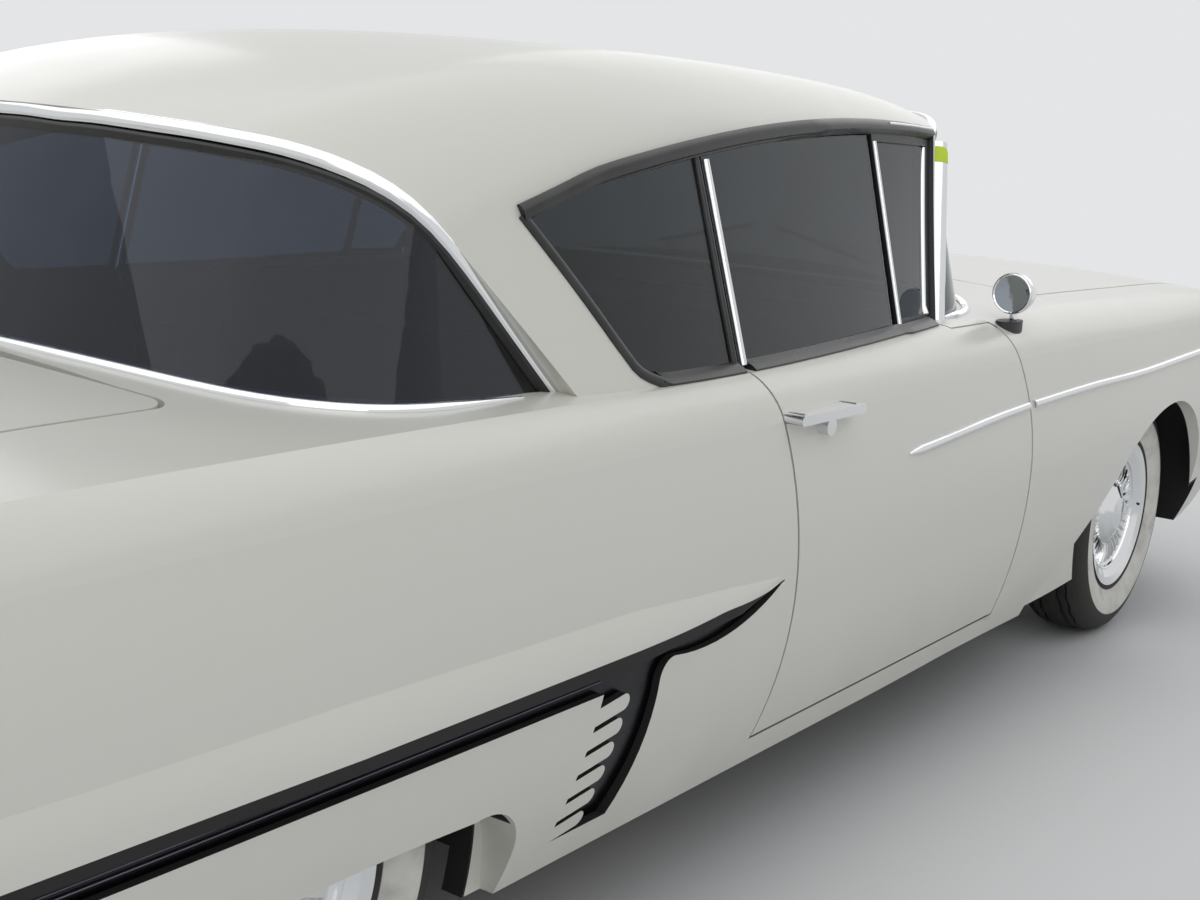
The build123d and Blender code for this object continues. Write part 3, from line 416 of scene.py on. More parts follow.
# painted reflection: the chrome ribs are plated grey to look like chrome that mirrors dark surroundings
rib_painted_reflection = plated("scoop_rib_painted_reflection", (0.16, 0.16, 0.19), 0.25)
mirror_silver = plated("mirror_silver", (0.42, 0.45, 0.49), 0.02)
mirror_plate = mirror_finish("mirror_plate")
smoked_glass_and_shade = tinted_pane("smoked_glass_and_shade", SMOKE_TINT_AND_SHADE)
blue_glass_and_shade = tinted_pane("blue_glass_and_shade", BLUE_TINT_AND_SHADE)
vent_glass = vent_finish("vent_glass", SMOKE_TINT_AND_SHADE)
reveal_black = moulded("reveal_black", (0.012, 0.012, 0.013), 0.22, 500, 0.0002)
rubber = moulded("seal_rubber", BLACK_PAINT, 0.55)
black_steel = moulded("chassis_black", (0.020, 0.019, 0.018), 0.5, 120, 0.0006, 3.0)
engine_paint = moulded("engine_blue_grey", (0.07, 0.11, 0.17), 0.45, 200, 0.0008)
exhaust_steel = sooty_steel("exhaust_steel")
dash_plastic = moulded("dash_grain", (0.045, 0.050, 0.062), 0.5, 500, 0.0005)
seat_cloth = woven("seat_cloth", (0.020, 0.024, 0.034), (0.065, 0.072, 0.090))
seat_vinyl = moulded("seat_vinyl", (0.050, 0.056, 0.070), 0.42, 650, 0.0004)
carpet = moulded("floor_carpet", (0.022, 0.023, 0.027), 0.95, 1400, 0.002)
dial_white = moulded("dial_white", (0.62, 0.63, 0.60), 0.4)
yellow_tape = moulded("yellow_green_tape", (0.62, 0.80, 0.05), 0.6, 300, 0.0004, 1.1)
head_lens = lamp_face("headlamp_lens", (0.62, 0.65, 0.66), HEADLAMPS, 0.0835, 420)
tail_lens = lamp_face("tail_lamp_lens", (0.42, 0.012, 0.012), [TAIL_LAMP], 0.0455, 900)

# Columns: finish, the solids that wear it
for finish, names in (
    (enamel, "body_shell hood trunk_lid front_fender_left front_fender_right"),
    (door_enamel["left"], "door_left"),
    (door_enamel["right"], "door_right"),
    (smoked_glass_and_shade, "windshield quarter_glasses door_glass_left door_glass_right"),
    (blue_glass_and_shade, "backlight"),
    (vent_glass, "vent_window_left vent_window_right"),
    (chrome, "front_bumper rear_bumper grille door_handle_left door_handle_right"),
    (chrome, "wheel_front_left wheel_front_right wheel_rear_left wheel_rear_right"),
    (black_steel, "chassis_frame front_suspension rear_axle driveshaft fuel_tank knuckle_left knuckle_right"),
    (dash_plastic, "dashboard steering_wheel"),
    (painted_shade_plate, "quarter_trims"),
    (mirror_plate, "fender_mirrors"),
    (head_lens, "headlamps"),
    (tail_lens, "tail_lamps"),
    (carpet, "floor_pan"),
    (engine_paint, "engine_block"),
    (exhaust_steel, "exhaust"),
):
    for name in names.split():
        nodes[name].data.materials.clear()
        nodes[name].data.materials.append(finish)


# Dresses: the finish of a piece, the body it rides on and its slot

bright_on_body = (chrome, "body", "chrome")
bright_on_door = {side: (chrome, f"door_{side}", "chrome") for side in SIDES}
reveal_on_body = (reveal_black, "body", "dash")
reveal_on_door = {side: (reveal_black, f"door_{side}", "dash") for side in SIDES}
rubber_on_body = (rubber, "body", "dash")
vinyl_on_body = (seat_vinyl, "body", "seat_trim")


# Making and placing pieces

def placed(name, data):
    """A new object in the scene."""
    made = bpy.data.objects.new(name, data)
    bpy.context.scene.collection.objects.link(made)
    return made


def piece(name, points, faces, dress, angle=40):
    """A mesh piece in its dress, with an edge kept sharp past an angle in degrees."""
    finish, body, slot = dress
    mesh = bpy.data.meshes.new(name)
    mesh.from_pydata([tuple(p) for p in points], [], faces)
    work = bmesh.new()
    work.from_mesh(mesh)
    bmesh.ops.remove_doubles(work, verts=work.verts, dist=1e-6)
    bmesh.ops.recalc_face_normals(work, faces=work.faces)
    work.to_mesh(mesh)
    work.free()
    mesh.polygons.foreach_set("use_smooth", [True] * len(mesh.polygons))
    mesh.set_sharp_from_angle(angle=math.radians(angle))
    made = placed(name, mesh)
    made.data.materials.append(finish)
    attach(made, body)
    return made


def skin_of(*names):
    """A tree of some nodes' faces, for setting pieces on their surface."""
    points, faces = [], []
    for name in names:
        mesh = nodes[name].data
        start = len(points)
        points.extend(v.co.copy() for v in mesh.vertices)
        faces.extend([start + i for i in p.vertices] for p in mesh.polygons)
    return BVHTree.FromPolygons(points, faces)


def seat(skin, start, direction):
    """Where a ray meets a skin, and the side that faces the ray, or None past the skin's edge."""
    direction = Vector(direction).normalized()
    place, normal, _, _ = skin.ray_cast(Vector(start), direction)
    if place is None:
        return None
    return place, normal if normal.dot(direction) < 0 else -normal


def seats(skin, starts, direction):
    """The seats of a row of starts, without those that miss the skin."""
    found = [seat(skin, start, direction) for start in starts]
    return [hit for hit in found if hit]


def spaced(first, last, count):
    """Evenly spaced numbers from first to last, in so many steps."""
    return [first + (last - first) * i / count for i in range(count + 1)]


def smooth(points, step):
    """Points at about even steps on a curve through the given ones."""
    points = [Vector(p) for p in points]
    ends = [2 * points[0] - points[1], *points, 2 * points[-1] - points[-2]]
    run = []
    for a, b, c, d in zip(ends, ends[1:], ends[2:], ends[3:]):
        count = max(1, round((c - b).length / step))
        for i in range(count):
            t = i / count
            run.append(0.5 * (2 * b + (c - a) * t + (2 * a - 5 * b + 4 * c - d) * t * t
                              + (3 * b - a - 3 * c + d) * t ** 3))
    return run + [points[-1]]


def strip_faces(rows, count, around=False, closed=True):
    """Faces between rows of points. The last row may join the first, and each row may be a closed ring."""
    faces = []
    for i in range(rows if around else rows - 1):
        start, following = i * count, (i + 1) % rows * count
        for j in range(count if closed else count - 1):
            k = (j + 1) % count
            faces.append((start + j, start + k, following + k, following + j))
    return faces


def bar_faces(rows, count):
    """The sides and the two ends of a bar."""
    return strip_faces(rows, count) + [range(count), range((rows - 1) * count, rows * count)]


def moulding(name, run, section, dress, taper=None):
    """Carry a section of (across, out) pairs along a run of (place, outward) pairs."""
    places = [p for p, _ in run]
    points = []
    for i, (place, outward) in enumerate(run):
        along = (places[min(i + 1, len(run) - 1)] - places[max(i - 1, 0)]).normalized()
        across = outward.cross(along).normalized()
        out = along.cross(across).normalized()
        size = taper(i / (len(run) - 1)) if taper else 1
        points.extend(place + across * (u * size) + out * (v * size) for u, v in section)
    return piece(name, points, bar_faces(len(run), len(section)), dress)


def half_round(width, height, sunk=0.002, count=7):
    """A domed section that is let into the surface by a little."""
    turns = [math.pi * i / (count - 1) for i in range(1, count - 1)]
    arch = [(math.cos(turn) * width / 2, math.sin(turn) * height) for turn in turns]
    return [(width / 2, -sunk), *arch, (-width / 2, -sunk)]


def round_bar(radius):
    """A round section with eight sides."""
    turns = [math.pi * i / 4 for i in range(8)]
    return [(math.cos(turn) * radius, math.sin(turn) * radius) for turn in turns]


def bar(name, points, radius, dress):
    """A round bar along a curve."""
    run = [(place, UP) for place in smooth(points, 0.02)]
    return moulding(name, run, round_bar(radius), dress)


def turned(name, profile, centre, axis, dress, steps=48):
    """Turn a profile of (along, radius) pairs round an axis."""
    axis = Vector(axis).normalized()
    side = axis.orthogonal().normalized()
    other = axis.cross(side)
    points = []
    for i in range(steps):
        turn = 2 * math.pi * i / steps
        spoke = side * math.cos(turn) + other * math.sin(turn)
        points.extend(Vector(centre) + axis * along + spoke * radius for along, radius in profile)
    return piece(name, points, strip_faces(steps, len(profile), True, False), dress, 30)


def rolled_box(name, low, high, radius, scale=1.0):
    """The mesh of a box between two corners with rolled edges, scaled about its middle."""
    low, high = Vector(low), Vector(high)
    work = bmesh.new()
    bmesh.ops.create_cube(work, size=1)
    for vertex in work.verts:
        vertex.co = (low + high) / 2 + Vector(a * b for a, b in zip(vertex.co, (high - low) * scale))
    bmesh.ops.bevel(work, geom=work.edges, offset=radius, segments=3, profile=0.5, affect="EDGES")
    mesh = bpy.data.meshes.new(name)
    work.to_mesh(mesh)
    work.free()
    return mesh


def rounded_block(name, low, high, dress, radius=0.004):
    """A block between two corners with rolled edges."""
    box = rolled_box(f"{name}_box", low, high, radius)
    points = [vertex.co.copy() for vertex in box.vertices]
    faces = [list(polygon.vertices) for polygon in box.polygons]
    bpy.data.meshes.remove(box)
    return piece(name, points, faces, dress)


shell_skin = skin_of("body_shell")
outer_skin = skin_of("body_shell", "hood", "trunk_lid", "front_fender_left", "front_fender_right",
                     "door_left", "door_right")


# Tyres and wheels

TYRE_STEPS, ZIGZAG_STEPS, ZIGZAG = 180, 6, 0.0028
TREAD_EDGE, TREAD_FLOOR = 0.064, 0.337
FINS, FIN_SUNK, FIN_CREST = 36, 0.003, 0.001


def detailed_tyre(place, axle_x, side):
    """A cross-ply tyre: five zigzag ribs across the tread, and full walls."""
    wall = [(0.076, 0.1965), (0.080, 0.213), (0.092, 0.232), (0.101, 0.256), (TYRE_HALF_WIDTH, 0.2745),
            (0.101, 0.298), (0.094, 0.318), (0.084, 0.332)]
    crown = [(0.081, 0.334), (0.072, 0.3415), (0.060, 0.3455)]
    groove = [(0.004, 0.3475), (0.003, 0.339), (-0.003, 0.339), (-0.004, 0.3495)]
    grooves = [(edge + out, radius) for edge in (0.055, 0.029) for out, radius in groove]
    outer_half = wall + crown + grooves + [(0.012, 0.3515)]
    section = outer_half + [(-out, radius) for out, radius in reversed(outer_half)]
    points = []
    for i in range(TYRE_STEPS):
        turn = 2 * math.pi * i / TYRE_STEPS
        zigzag = ZIGZAG * (1 - abs((i % ZIGZAG_STEPS) - ZIGZAG_STEPS / 2) / (ZIGZAG_STEPS / 4))
        for out, radius in section:
            shift = zigzag if radius > TREAD_FLOOR and abs(out) < TREAD_EDGE else 0
            points.append((axle_x + radius * math.cos(turn), side * (WHEEL_Y + out + shift),
                           AXLE_Z + radius * math.sin(turn)))
    faces = strip_faces(TYRE_STEPS, len(section), True)
    dress = (whitewall_rubber(f"whitewall_{place}", axle_x), f"wheel_{place}", "tyre")
    tyre = piece(f"tread_tyre_{place}", points, faces, dress, 28)
    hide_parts(f"tyre_{place}")


def wheel_cover(place, axle_x, side):
    """Raised fins round the plated wheel cover, a ring outside them and a valve."""
    # Columns: radius, place out from the wheel's middle, half width, height
    stations = (
        (0.096, 0.0555, 0.0030, 0.004),
        (0.122, 0.0570, 0.0042, 0.009),
        (0.148, 0.0580, 0.0050, 0.004),
    )
    outward = Vector((0, side, 0))
    bright = (chrome, f"wheel_{place}", "chrome")
    points, faces = [], []
    for i in range(FINS):
        turn = 2 * math.pi * i / FINS
        spoke = Vector((math.cos(turn), 0, math.sin(turn)))
        across = Vector((-math.sin(turn), 0, math.cos(turn)))
        start = len(points)
        for radius, out, half_width, height in stations:
            middle = Vector((axle_x, side * (WHEEL_Y + out), AXLE_Z)) + spoke * radius
            foot, crest = middle - outward * FIN_SUNK, middle + outward * height
            points += [foot - across * half_width, crest - across * FIN_CREST,
                       crest + across * FIN_CREST, foot + across * half_width]
        faces += [[start + corner for corner in face] for face in bar_faces(len(stations), 4)]
    piece(f"cover_fins_{place}", points, faces, bright, 20)
    ring = [(0.0600, 0.156), (0.0665, 0.160), (0.0690, 0.166), (0.0665, 0.172), (0.0610, 0.176)]
    turned(f"cover_ring_{place}", ring, (axle_x, side * WHEEL_Y, AXLE_Z), outward, bright, 72)
    valve_foot = (axle_x + 0.182, side * (WHEEL_Y + 0.070), AXLE_Z)
    turned(f"valve_{place}", [(-0.012, 0.004), (0.012, 0.0035), (0.013, 0.0)], valve_foot, outward,
           (rubber, f"wheel_{place}", "tyre"), 12)


for place, (axle_x, side) in WHEELS.items():
    detailed_tyre(place, axle_x, side)
    wheel_cover(place, axle_x, side)


# Mouldings and seals on the sides, whose lines are (x, z) places as seen from the side

RAIL_CENTRE_X, RAIL_CENTRE_Z, RAIL_RADIUS = 0.4518262, -4.0837296, 5.4784447
RAIL_TURNS = [math.radians(turn) for turn in spaced(87.3826719, 101.5384245, 10)]
RAIL_ARC = [(RAIL_CENTRE_X + RAIL_RADIUS * math.cos(turn), RAIL_CENTRE_Z + RAIL_RADIUS * math.sin(turn))
            for turn in RAIL_TURNS]
DRIP_LINE = [*((x, z + 0.005) for x, z in RAIL_ARC[:-1]), (-0.640, 1.289), (-0.740, 1.259), (-0.834, 1.230)]
QUARTER_LINE = [(-0.832, 1.228), (-0.750, 1.125), (-0.669, 1.018), (-0.637, 0.984), (-0.580, BELT_Z)]
CHANNEL_LINE = [*RAIL_ARC, (-0.822, 1.228), (-0.743, 1.125), (-0.664, 1.022), (-0.612, 0.976)]
DOOR_LINE = [(0.148, 0.770), (0.319, 0.779), (0.574, 0.792), (0.770, 0.7995)]
FENDER_LINE = [(0.802, 0.8005), (0.863, 0.802), (1.193, 0.809), (1.575, 0.810), (2.016, 0.821),
               (2.400, 0.832), (2.640, 0.838)]
POST_LINE = [(0.641, 0.784, 0.975), (0.671, 0.760, 1.085), (0.700, 0.737, 1.190), (0.727, 0.716, 1.290),
             (0.749, 0.697, 1.372)]
NEAR_SIDE_Y, TAPE_LOW_Z = 0.3, 1.322
CHANNEL_SECTION = [(-0.017, -0.014), (0.017, -0.014), (0.017, 0.004), (0.009, 0.007), (0.004, 0.002),
                   (-0.004, 0.002), (-0.009, 0.007), (-0.017, 0.004)]
SILL_SECTION = [(-0.011, -0.012), (0.022, -0.012), (0.021, 0.003), (0.010, 0.007), (0.003, 0.008),
                (-0.008, 0.010)]


def side_run(line, side, skin, step=0.03):
    """A run on the side of the car over (x, z) places."""
    starts = [(p.x, side * BESIDE_Y, p.z) for p in smooth([(x, 0, z) for x, z in line], step)]
    return [hit for hit in seats(skin, starts, (0, -side, 0)) if hit[0].y * side > NEAR_SIDE_Y]


def pointed(t):
    """Narrow at the first end, then full."""
    return min(1.0, 0.25 + t * 9)


def tongue(t):
    """Full at the first end, and rounded off at the last."""
    return 1.0 if t < 0.5 else math.sqrt(max(0.03, 1 - ((t - 0.5) / 0.52) ** 2))


def drip_rail(name, side):
    """The black rail over the side windows, with a bright line on its front."""
    run = side_run(DRIP_LINE, side, shell_skin)
    moulding(f"drip_rail_{name}", run, half_round(0.030, 0.010, 0.012), reveal_on_body)
    moulding(f"quarter_edge_{name}", side_run(QUARTER_LINE, side, outer_skin, 0.02),
             half_round(0.020, 0.005, 0.012), reveal_on_body)
    front = [(place + outward * 0.008, outward) for place, outward in run if place.x > 0.45]
    moulding(f"drip_rail_tip_{name}", front, half_round(0.006, 0.004), bright_on_body)


def window_channel(name, side):
    """The black channel that the side panes close against."""
    run = []
    for place in smooth([(x, 0, z) for x, z in CHANNEL_LINE], 0.025):
        outside = place + Vector((-0.006, side * BESIDE_Y, 0.010))
        hit = seat(shell_skin, outside, (0, -side, 0))
        if hit and hit[0].y * side > NEAR_SIDE_Y:
            run.append((Vector((place.x, hit[0].y - side * 0.011, place.z)), hit[1]))
    moulding(f"window_channel_{name}", run, CHANNEL_SECTION, reveal_on_body)


def sill_seal(label, side, panes, first_x, last_x, dress):
    """The lip along the foot of some panes, laid on the sill just outside the glass."""
    starts = [(x, side * BESIDE_Y, 0.995) for x in spaced(first_x, last_x, 40)]
    feet = [place for place, _ in seats(skin_of(*panes), starts, (0, -side, 0))]
    above = [(foot.x, foot.y + side * 0.013, ABOVE_Z) for foot in feet]
    run = [(place + UP * 0.004, Vector((0, side * 0.25, 1)))
           for place, _ in seats(outer_skin, above, -UP) if place.z > 0.9]
    moulding(label, run, [(u * side, v) for u, v in SILL_SECTION], dress)


def windshield_post(name, side):
    """The bright cover of a windshield post. The right one has a tongue of tape at its head."""
    line = smooth([(x, side * y, z) for x, y, z in POST_LINE], 0.012)
    facing = Vector((-0.66, side * 0.74, 0.10)).normalized()
    moulding(f"post_cover_{name}", [(place, facing) for place in line], half_round(0.042, 0.010, 0.020, 11),
             bright_on_body)
    if name == "right":
        tape = [(place + facing * 0.001, facing) for place in line if place.z > TAPE_LOW_Z]
        moulding("post_tape", tape, half_round(0.044, 0.0105, 0.004, 11), (yellow_tape, "body", "body_paint"),
                 tongue)


def upright_bar(label, name, foot, head, width, dress):
    """An upright bar on a side glass, between two (x, z) places."""
    side = SIDES[name]
    pane = skin_of("quarter_glasses", f"door_glass_{name}", f"vent_window_{name}")
    places = zip(spaced(foot[0], head[0], 22), spaced(foot[1], head[1], 22))
    run = seats(pane, [(x, side * BESIDE_Y, z) for x, z in places], (0, -side, 0))
    moulding(f"{label}_{name}", run, half_round(width, width * 0.55, 0.004, 9), dress)


for name, side in SIDES.items():
    drip_rail(name, side)
    window_channel(name, side)
    sill_seal(f"quarter_sill_seal_{name}", side, ("quarter_glasses",), -0.585, -0.336, reveal_on_body)
    sill_seal(f"door_sill_seal_{name}", side, (f"door_glass_{name}", f"vent_window_{name}"), -0.306, 0.560,
              reveal_on_door[name])
    strip = half_round(0.020, 0.011)
    moulding(f"door_moulding_{name}", side_run(DOOR_LINE, side, outer_skin), strip, bright_on_door[name],
             pointed)
    moulding(f"fender_moulding_{name}", side_run(FENDER_LINE, side, outer_skin), strip, bright_on_body)
    windshield_post(name, side)
for name in SIDES:
    # Columns: label, foot, head, width, dress
    for label, foot, head, width, dress in (
        ("door_glass_bar", (-0.312, 0.968), (-0.312, 1.352), 0.017, bright_on_door[name]),
        ("quarter_glass_edge", (-0.341, 0.968), (-0.341, 1.350), 0.014, reveal_on_body),
        ("vent_rear_bar", (0.386, 0.972), (0.386, 1.366), 0.011, bright_on_door[name]),
        ("vent_front_bar", (0.568, 1.000), (0.662, 1.358), 0.012, bright_on_door[name]),
    ):
        upright_bar(label, name, foot, head, width, dress)


# Trim round the wrapped glasses

GLASS_FOOT_Z, GLASS_REACH, EDGE_SEARCH = 0.955, 2.2, 0.004


def wrapped_edge(skin, centre_x, turns, high, upper):
    """The upper or lower outside edge of a wrapped glass, as seen from a point behind it."""
    places = []
    for turn in spaced(*turns, 80):
        direction = Vector((math.cos(math.radians(turn)), math.sin(math.radians(turn)), 0))
        start = Vector((centre_x, 0, 0)) + direction * GLASS_REACH
        z = high if upper else GLASS_FOOT_Z
        while GLASS_FOOT_Z <= z <= high:
            place, _, _, _ = skin.ray_cast(Vector((start.x, start.y, z)), -direction, GLASS_REACH)
            if place:
                places.append((place, direction))
                break
            z += -EDGE_SEARCH if upper else EDGE_SEARCH
    return places


def settle(places):
    """Even out small steps in a run."""
    for _ in range(4):
        middle = [(a[0] * 0.25 + b[0] * 0.5 + c[0] * 0.25, b[1])
                  for a, b, c in zip(places, places[1:], places[2:])]
        places = [places[0], *middle, places[-1]]
    return places


def thin_ends(t):
    """Full in the middle and drawn out to nearly a point at both ends."""
    return min(1.0, 0.2 + 9 * min(t, 1 - t))


def header_trim(name, upper, width):
    """The plated moulding over a wrapped glass, and the black seal under it."""
    raised = [(place + out * 0.004, (out * 0.5 + UP * 0.9).normalized()) for place, out in upper]
    moulding(f"{name}_header_moulding", raised, half_round(width, width * 0.36, 0.004, 9), bright_on_body)
    drop = UP * (0.62 * width)
    inner = [(place + out * 0.006 - drop, normal) for (place, normal), (_, out) in zip(raised, upper)]
    moulding(f"{name}_header_seal", inner, half_round(0.016, 0.007, 0.010), reveal_on_body)


def foot_trim(name, lower):
    """The plated moulding and the rubber lip where a wrapped glass meets the body."""
    foot = []
    for place, out in lower:
        ground = seat(outer_skin, place + out * 0.010 + UP * 0.25, -UP)
        if ground and abs(ground[0].z - place.z) < 0.05 and ground[0].z < 1.03:
            foot.append((ground[0] + out * 0.006, (out * 0.6 + UP).normalized()))
    foot = settle(foot)
    moulding(f"{name}_foot_moulding", foot, half_round(0.022, 0.010, 0.004), bright_on_body, thin_ends)
    lip = [(place - normal * 0.012 + UP * 0.003, normal) for place, normal in foot]
    moulding(f"{name}_foot_seal", lip, half_round(0.012, 0.010, 0.006), rubber_on_body)


# Columns: glass, point behind it, turns in degrees, highest place, width of the moulding over it
for glass, centre_x, turns, high, width in (
    ("windshield", 0.30, (-66, 66), 1.478, 0.024),
    ("backlight", -0.62, (100, 260), 1.40, 0.030),
):
    header_trim(glass, settle(wrapped_edge(skin_of(glass), centre_x, turns, high, True)), width)
    foot_trim(glass, wrapped_edge(skin_of(glass), centre_x, turns, high, False))


# Three fine ribs along each quarter scoop's band, plated grey as a painted reflection

for name, side in SIDES.items():
    liner = skin_of("quarter_trims")
    for number, height in enumerate((0.5515, 0.5605, 0.5695)):
        rib = side_run([(x, height) for x in (-0.86, -1.4, -2.0, -2.63)], side, liner, 0.06)
        moulding(f"scoop_rib_{number}_{name}", rib, half_round(0.0042, 0.0035), (rib_painted_reflection, "body", "chrome"))


# Bench seats

PAD_START, PAD_EDGE, PAD_VOXEL = 0.94, 0.028, 0.014
PAD_CAP, PAD_PRESSURE, PAD_FRAMES = 0.020, 4, 20
CHANNEL_PITCH, CHANNEL_DEPTH, SEAM_DEPTH, WANDER = 0.068, 0.008, 0.007, 0.006
BENCH_LEAN, BENCH_HALF_WIDTH = 0.30, 0.675


def keep_modifiers(pad):
    """Turn what the modifiers make into the pad's own mesh."""
    shown = pad.evaluated_get(bpy.context.evaluated_depsgraph_get())
    mesh = bpy.data.meshes.new_from_object(shown)
    pad.modifiers.clear()
    pad.data = mesh


def swell(pad):
    """Remesh a pad, let pressure fill its cloth, and keep each point within the cap of where it was."""
    even = pad.modifiers.new("even_faces", "REMESH")
    even.mode, even.voxel_size = "VOXEL", PAD_VOXEL
    bpy.context.view_layer.update()
    keep_modifiers(pad)
    rest = [v.co.copy() for v in pad.data.vertices]
    cloth = pad.modifiers.new("stuffing", "CLOTH")
    cloth.settings.use_pressure = True
    cloth.settings.uniform_pressure_force = PAD_PRESSURE
    cloth.settings.effector_weights.gravity = 0
    cloth.settings.quality = 4
    cloth.collision_settings.use_collision = False
    cloth.point_cache.frame_start, cloth.point_cache.frame_end = 1, PAD_FRAMES
    for number in range(1, PAD_FRAMES + 1):
        bpy.context.scene.frame_set(number)
    keep_modifiers(pad)
    bpy.context.scene.frame_set(1)
    for vertex, start in zip(pad.data.vertices, rest):
        move = vertex.co - start
        if move.length > PAD_CAP:
            vertex.co = start + move.normalized() * PAD_CAP


def sewn(place, normal, facing):
    """A point of a pad drawn in along its channels and side seams, with a slow wander between them."""
    inner = min(1.0, max(0.0, (BENCH_HALF_WIDTH * 0.86 - abs(place.y)) / 0.02))
    across = abs(math.sin(math.pi * place.y / CHANNEL_PITCH))
    stitch = (1 - min(1.0, across * 2.4)) ** 2
    place = place - normal * (CHANNEL_DEPTH * stitch * inner * facing)
    seam = math.exp(-((abs(place.y) - BENCH_HALF_WIDTH * 0.87) / 0.006) ** 2)
    place = place - normal * (SEAM_DEPTH * seam * facing)
    return place + normal * (noise.noise(place * 3.0) * WANDER * facing)


def bench_part(name, node, low, high, lean, front):
    """A cushion or a back: stuffed, sewn on the side that its front axis (0 or 2) names, and leaned."""
    pad = placed(name, rolled_box(name, low, high, PAD_EDGE, PAD_START))
    swell(pad)
    finer = pad.modifiers.new("finer", "SUBSURF")
    finer.levels = finer.render_levels = 1
    bpy.context.view_layer.update()
    keep_modifiers(pad)
    normals = [vertex.normal.copy() for vertex in pad.data.vertices]
    for vertex, normal in zip(pad.data.vertices, normals):
        place = sewn(vertex.co.copy(), normal, max(0.0, normal[front]))
        place.x -= lean * (place.z - low[2])
        vertex.co = place
    pad.data.polygons.foreach_set("use_smooth", [True] * len(pad.data.polygons))
    pad.data.materials.clear()
    pad.data.materials.append(seat_cloth)
    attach(pad, "body")
    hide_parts(node)


def bench(end, cushion, back):
    """Cushion and back of a bench seat. Each is given as its (x, z) low and high corners."""
    for part, ((low_x, low_z), (high_x, high_z)), lean, front in (
        ("cushion", cushion, 0.0, 2), ("back", back, BENCH_LEAN, 0),
    ):
        low, high = (low_x, -BENCH_HALF_WIDTH, low_z), (high_x, BENCH_HALF_WIDTH, high_z)
        bench_part(f"{end}_bench_{part}", f"{end}_seat", low, high, lean, front)


bench("front", ((-0.150, 0.452), (0.340, 0.590)), ((-0.130, 0.575), (-0.015, 0.955)))
bench("rear", ((-0.900, 0.452), (-0.508, 0.585)), ((-0.905, 0.565), (-0.790, 0.902)))
rounded_block("front_bench_base", (-0.18, -0.62, 0.332), (0.29, 0.62, 0.456), vinyl_on_body, 0.012)
rounded_block("rear_bench_base", (-0.96, -0.62, 0.332), (-0.54, 0.62, 0.456), vinyl_on_body, 0.012)


# Dashboard and cabin

DIALS_X, DIALS_Z, DIALS_FACING = 0.688, 0.800, (-1, 0, 0.28)
for number, (y, radius) in enumerate([(0.300, 0.046), (0.400, 0.062), (0.500, 0.046)]):
    place = (DIALS_X, y, DIALS_Z)
    face = [(0.010, 0.0), (0.010, radius * 0.86), (0.014, radius * 0.90), (0.016, radius),
            (0.0, radius + 0.003)]
    turned(f"dial_{number}", face, place, DIALS_FACING, (dial_white, "body", "dash"), 40)
    rim = [(0.010, radius * 0.90), (0.019, radius * 0.95), (0.017, radius + 0.004), (0.004, radius + 0.006)]
    turned(f"dial_rim_{number}", rim, place, DIALS_FACING, bright_on_body, 40)
dash_line = [(Vector((0.671, y / 100, 0.868)), Vector((-1, 0, -0.2))) for y in range(-60, 61, 4)]
moulding("dash_strip", dash_line, half_round(0.012, 0.006), bright_on_body)
rounded_block("dash_radio", (0.686, -0.085, 0.745), (0.712, 0.085, 0.815), bright_on_body, 0.006)
knob = [(0.0, 0.012), (0.018, 0.011), (0.020, 0.0)]
for name in ("right", "left"):
    turned(f"radio_knob_{name}", knob, (0.690, SIDES[name] * 0.10, 0.780), (-1, 0, 0),
           (dash_plastic, "body", "dash"), 20)
bar("column_lever", [(0.560, 0.400, 0.830), (0.545, 0.330, 0.860), (0.530, 0.270, 0.885)], 0.005,
    bright_on_body)
bar("mirror_stalk", [(0.905, 0, 1.428), (0.890, 0, 1.405), (0.880, 0, 1.385)], 0.006, bright_on_body)
rounded_block("cabin_mirror", (0.866, -0.115, 1.352), (0.880, 0.115, 1.400), bright_on_body, 0.005)
for name, side in SIDES.items():
    near, far = sorted((side * 0.08, side * 0.50))
    rounded_block(f"sun_visor_{name}", (0.700, near, 1.405), (0.850, far, 1.417),
                  (seat_vinyl, "body", "dash"))
for label, y in (("brake", 0.30), ("throttle", 0.18)):
    rounded_block(f"{label}_pedal", (0.770, y - 0.04, 0.430), (0.785, y + 0.04, 0.520), rubber_on_body)
    bar(f"{label}_arm", [(0.785, y, 0.480), (0.850, y, 0.600), (0.900, y, 0.690)], 0.007,
        (black_steel, "body", "dash"))


# Inside of the doors

CARD_REAR_X, CARD_STEP, CARD_POINTS = -0.26, 0.035, 21


